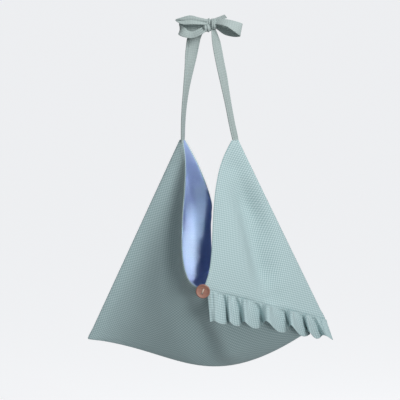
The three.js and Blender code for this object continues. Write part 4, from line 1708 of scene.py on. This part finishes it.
@dataclass(frozen=True)
class Lamp:
    """Soft square lamp that looks at a place, unseen by the camera."""

    name: str
    place: Point
    power: float
    size: float
    aim: Point = (0.0, 0.0, -0.3)
    spread: float = 180.0

    def hang(self) -> None:
        """Add the lamp to the scene."""
        light = bpy.data.lights.new(self.name, "AREA")
        light.energy = self.power
        light.size = self.size
        light.spread = math.radians(self.spread)
        holder = bpy.data.objects.new(self.name, light)
        holder.location = self.place
        holder.rotation_euler = (Vector(self.aim) - Vector(self.place)).to_track_quat("-Z", "Y").to_euler()
        holder.visible_camera = False
        bpy.context.scene.collection.objects.link(holder)

    def light_only(self, pieces: Sequence[bpy.types.Object]) -> None:
        """Let the lamp light only some pieces.

        Args:
            pieces: The pieces that it lights.
        """
        lit = bpy.data.collections.new("lit_by_" + self.name)
        for piece in pieces:
            lit.objects.link(piece)
        bpy.data.objects[self.name].light_linking.receiver_collection = lit


@dataclass
class Studio:
    """Camera, lights and the pale floor below the bag."""

    pixel: float = 0.0015
    image: int = 400
    hang_pixel: tuple[float, float] = (209.5, 31.5)
    elevation: float = math.radians(8.0)
    distance: float = 12.0
    sensor: float = 36.0
    sight: float = 50.0
    floor: float = -0.66
    floor_radius: float = 16.0
    room_colour: tuple[float, float, float] = (0.93, 0.96, 1.0)
    room_strength: float = 0.31
    key: Lamp = Lamp("key", (0.50, -0.66, 0.42), 7.8, 0.42)
    low_fill: Lamp = Lamp("low_fill", (0.8, -1.8, -0.44), 9.6, 0.5)
    back_fill: Lamp = Lamp("back_fill", (-0.7, 1.5, 0.4), 4.0, 0.5, spread=90.0)
    mouth_light: Lamp = Lamp("mouth_light", (0.34, -3.0, 0.1), 0.158, 0.10, (-0.02, 0.05, -0.36), 6.0)

    def camera(self) -> None:
        """Place the camera at the photograph's viewing angle and framing."""
        half = self.image / 2
        across = (half - self.hang_pixel[0]) * self.pixel
        up = (self.hang_pixel[1] - half) * self.pixel
        target = Vector((across, 0.0, up / math.cos(self.elevation)))
        back = Vector((0.0, -math.cos(self.elevation), math.sin(self.elevation)))
        lens = bpy.data.cameras.new("view")
        lens.sensor_width = self.sensor
        lens.lens = self.sensor * self.distance / (self.image * self.pixel)
        lens.clip_end = self.sight
        holder = bpy.data.objects.new("view", lens)
        holder.location = target + back * self.distance
        holder.rotation_euler = (-back).to_track_quat("-Z", "Y").to_euler()
        bpy.context.scene.collection.objects.link(holder)
        bpy.context.scene.camera = holder

    def ground(self) -> None:
        """Make the wide round floor below the bag."""
        bm = bmesh.new()
        bmesh.ops.create_circle(bm, cap_ends=True, segments=96, radius=self.floor_radius,
                                matrix=Matrix.Translation((0.0, 0.0, self.floor)))
        to_object(bm, "floor", PaleFloor().make())

    def room(self) -> bpy.types.World:
        """Make the soft room light, which the camera sees as the floor's pale colour.

        Returns:
            The world of the scene.
        """
        world = bpy.data.worlds.new("soft_room")
        world.use_nodes = True
        nodes, links = world.node_tree.nodes, world.node_tree.links
        light = nodes["Background"]
        light.inputs["Color"].default_value = (*self.room_colour, 1.0)
        light.inputs["Strength"].default_value = self.room_strength
        pale = nodes.new("ShaderNodeBackground")
        pale.inputs["Color"].default_value = (*linear(*PaleFloor.colour), 1.0)
        choice = nodes.new("ShaderNodeMixShader")
        links.new(nodes.new("ShaderNodeLightPath").outputs["Is Camera Ray"], choice.inputs["Fac"])
        links.new(light.outputs["Background"], choice.inputs[1])
        links.new(pale.outputs["Background"], choice.inputs[2])
        links.new(choice.outputs["Shader"], nodes["World Output"].inputs["Surface"])
        return world

    def build(self) -> None:
        """Set the camera, the background and the lamps of the outside."""
        self.camera()
        self.ground()
        scene = bpy.context.scene
        scene.view_settings.view_transform = "Standard"
        scene.world = self.room()
        for lamp in (self.key, self.low_fill, self.back_fill):
            lamp.hang()

    def light_lining(self, lining: bpy.types.Object) -> None:
        """Let a low lamp reach the lining through the mouth, without lighting the outside."""
        self.mouth_light.hang()
        self.mouth_light.light_only([lining])


def main() -> None:
    """Build the bag and its studio."""
    logging.basicConfig(level=logging.INFO, format="%(message)s")
    finishes = Finishes()
    shape = BagShape()
    studio = Studio()
    studio.build()
    body = BagBody(shape, finishes)
    outer = body.build_outer()
    lining = body.build_lining()
    studio.light_lining(lining)
    pieces = [outer, lining, body.build_topstitch(outer, lining), Ruffle(shape, finishes).build()]
    handle = Handle(shape, finishes).build()
    pieces += SewnButton(finishes).build()
    studio.low_fill.light_only(pieces)
    pieces += handle
    studio.back_fill.light_only(pieces)
    for piece in pieces:
        LOG.info("made %s", piece.name)


if __name__ == "__main__":
    main()
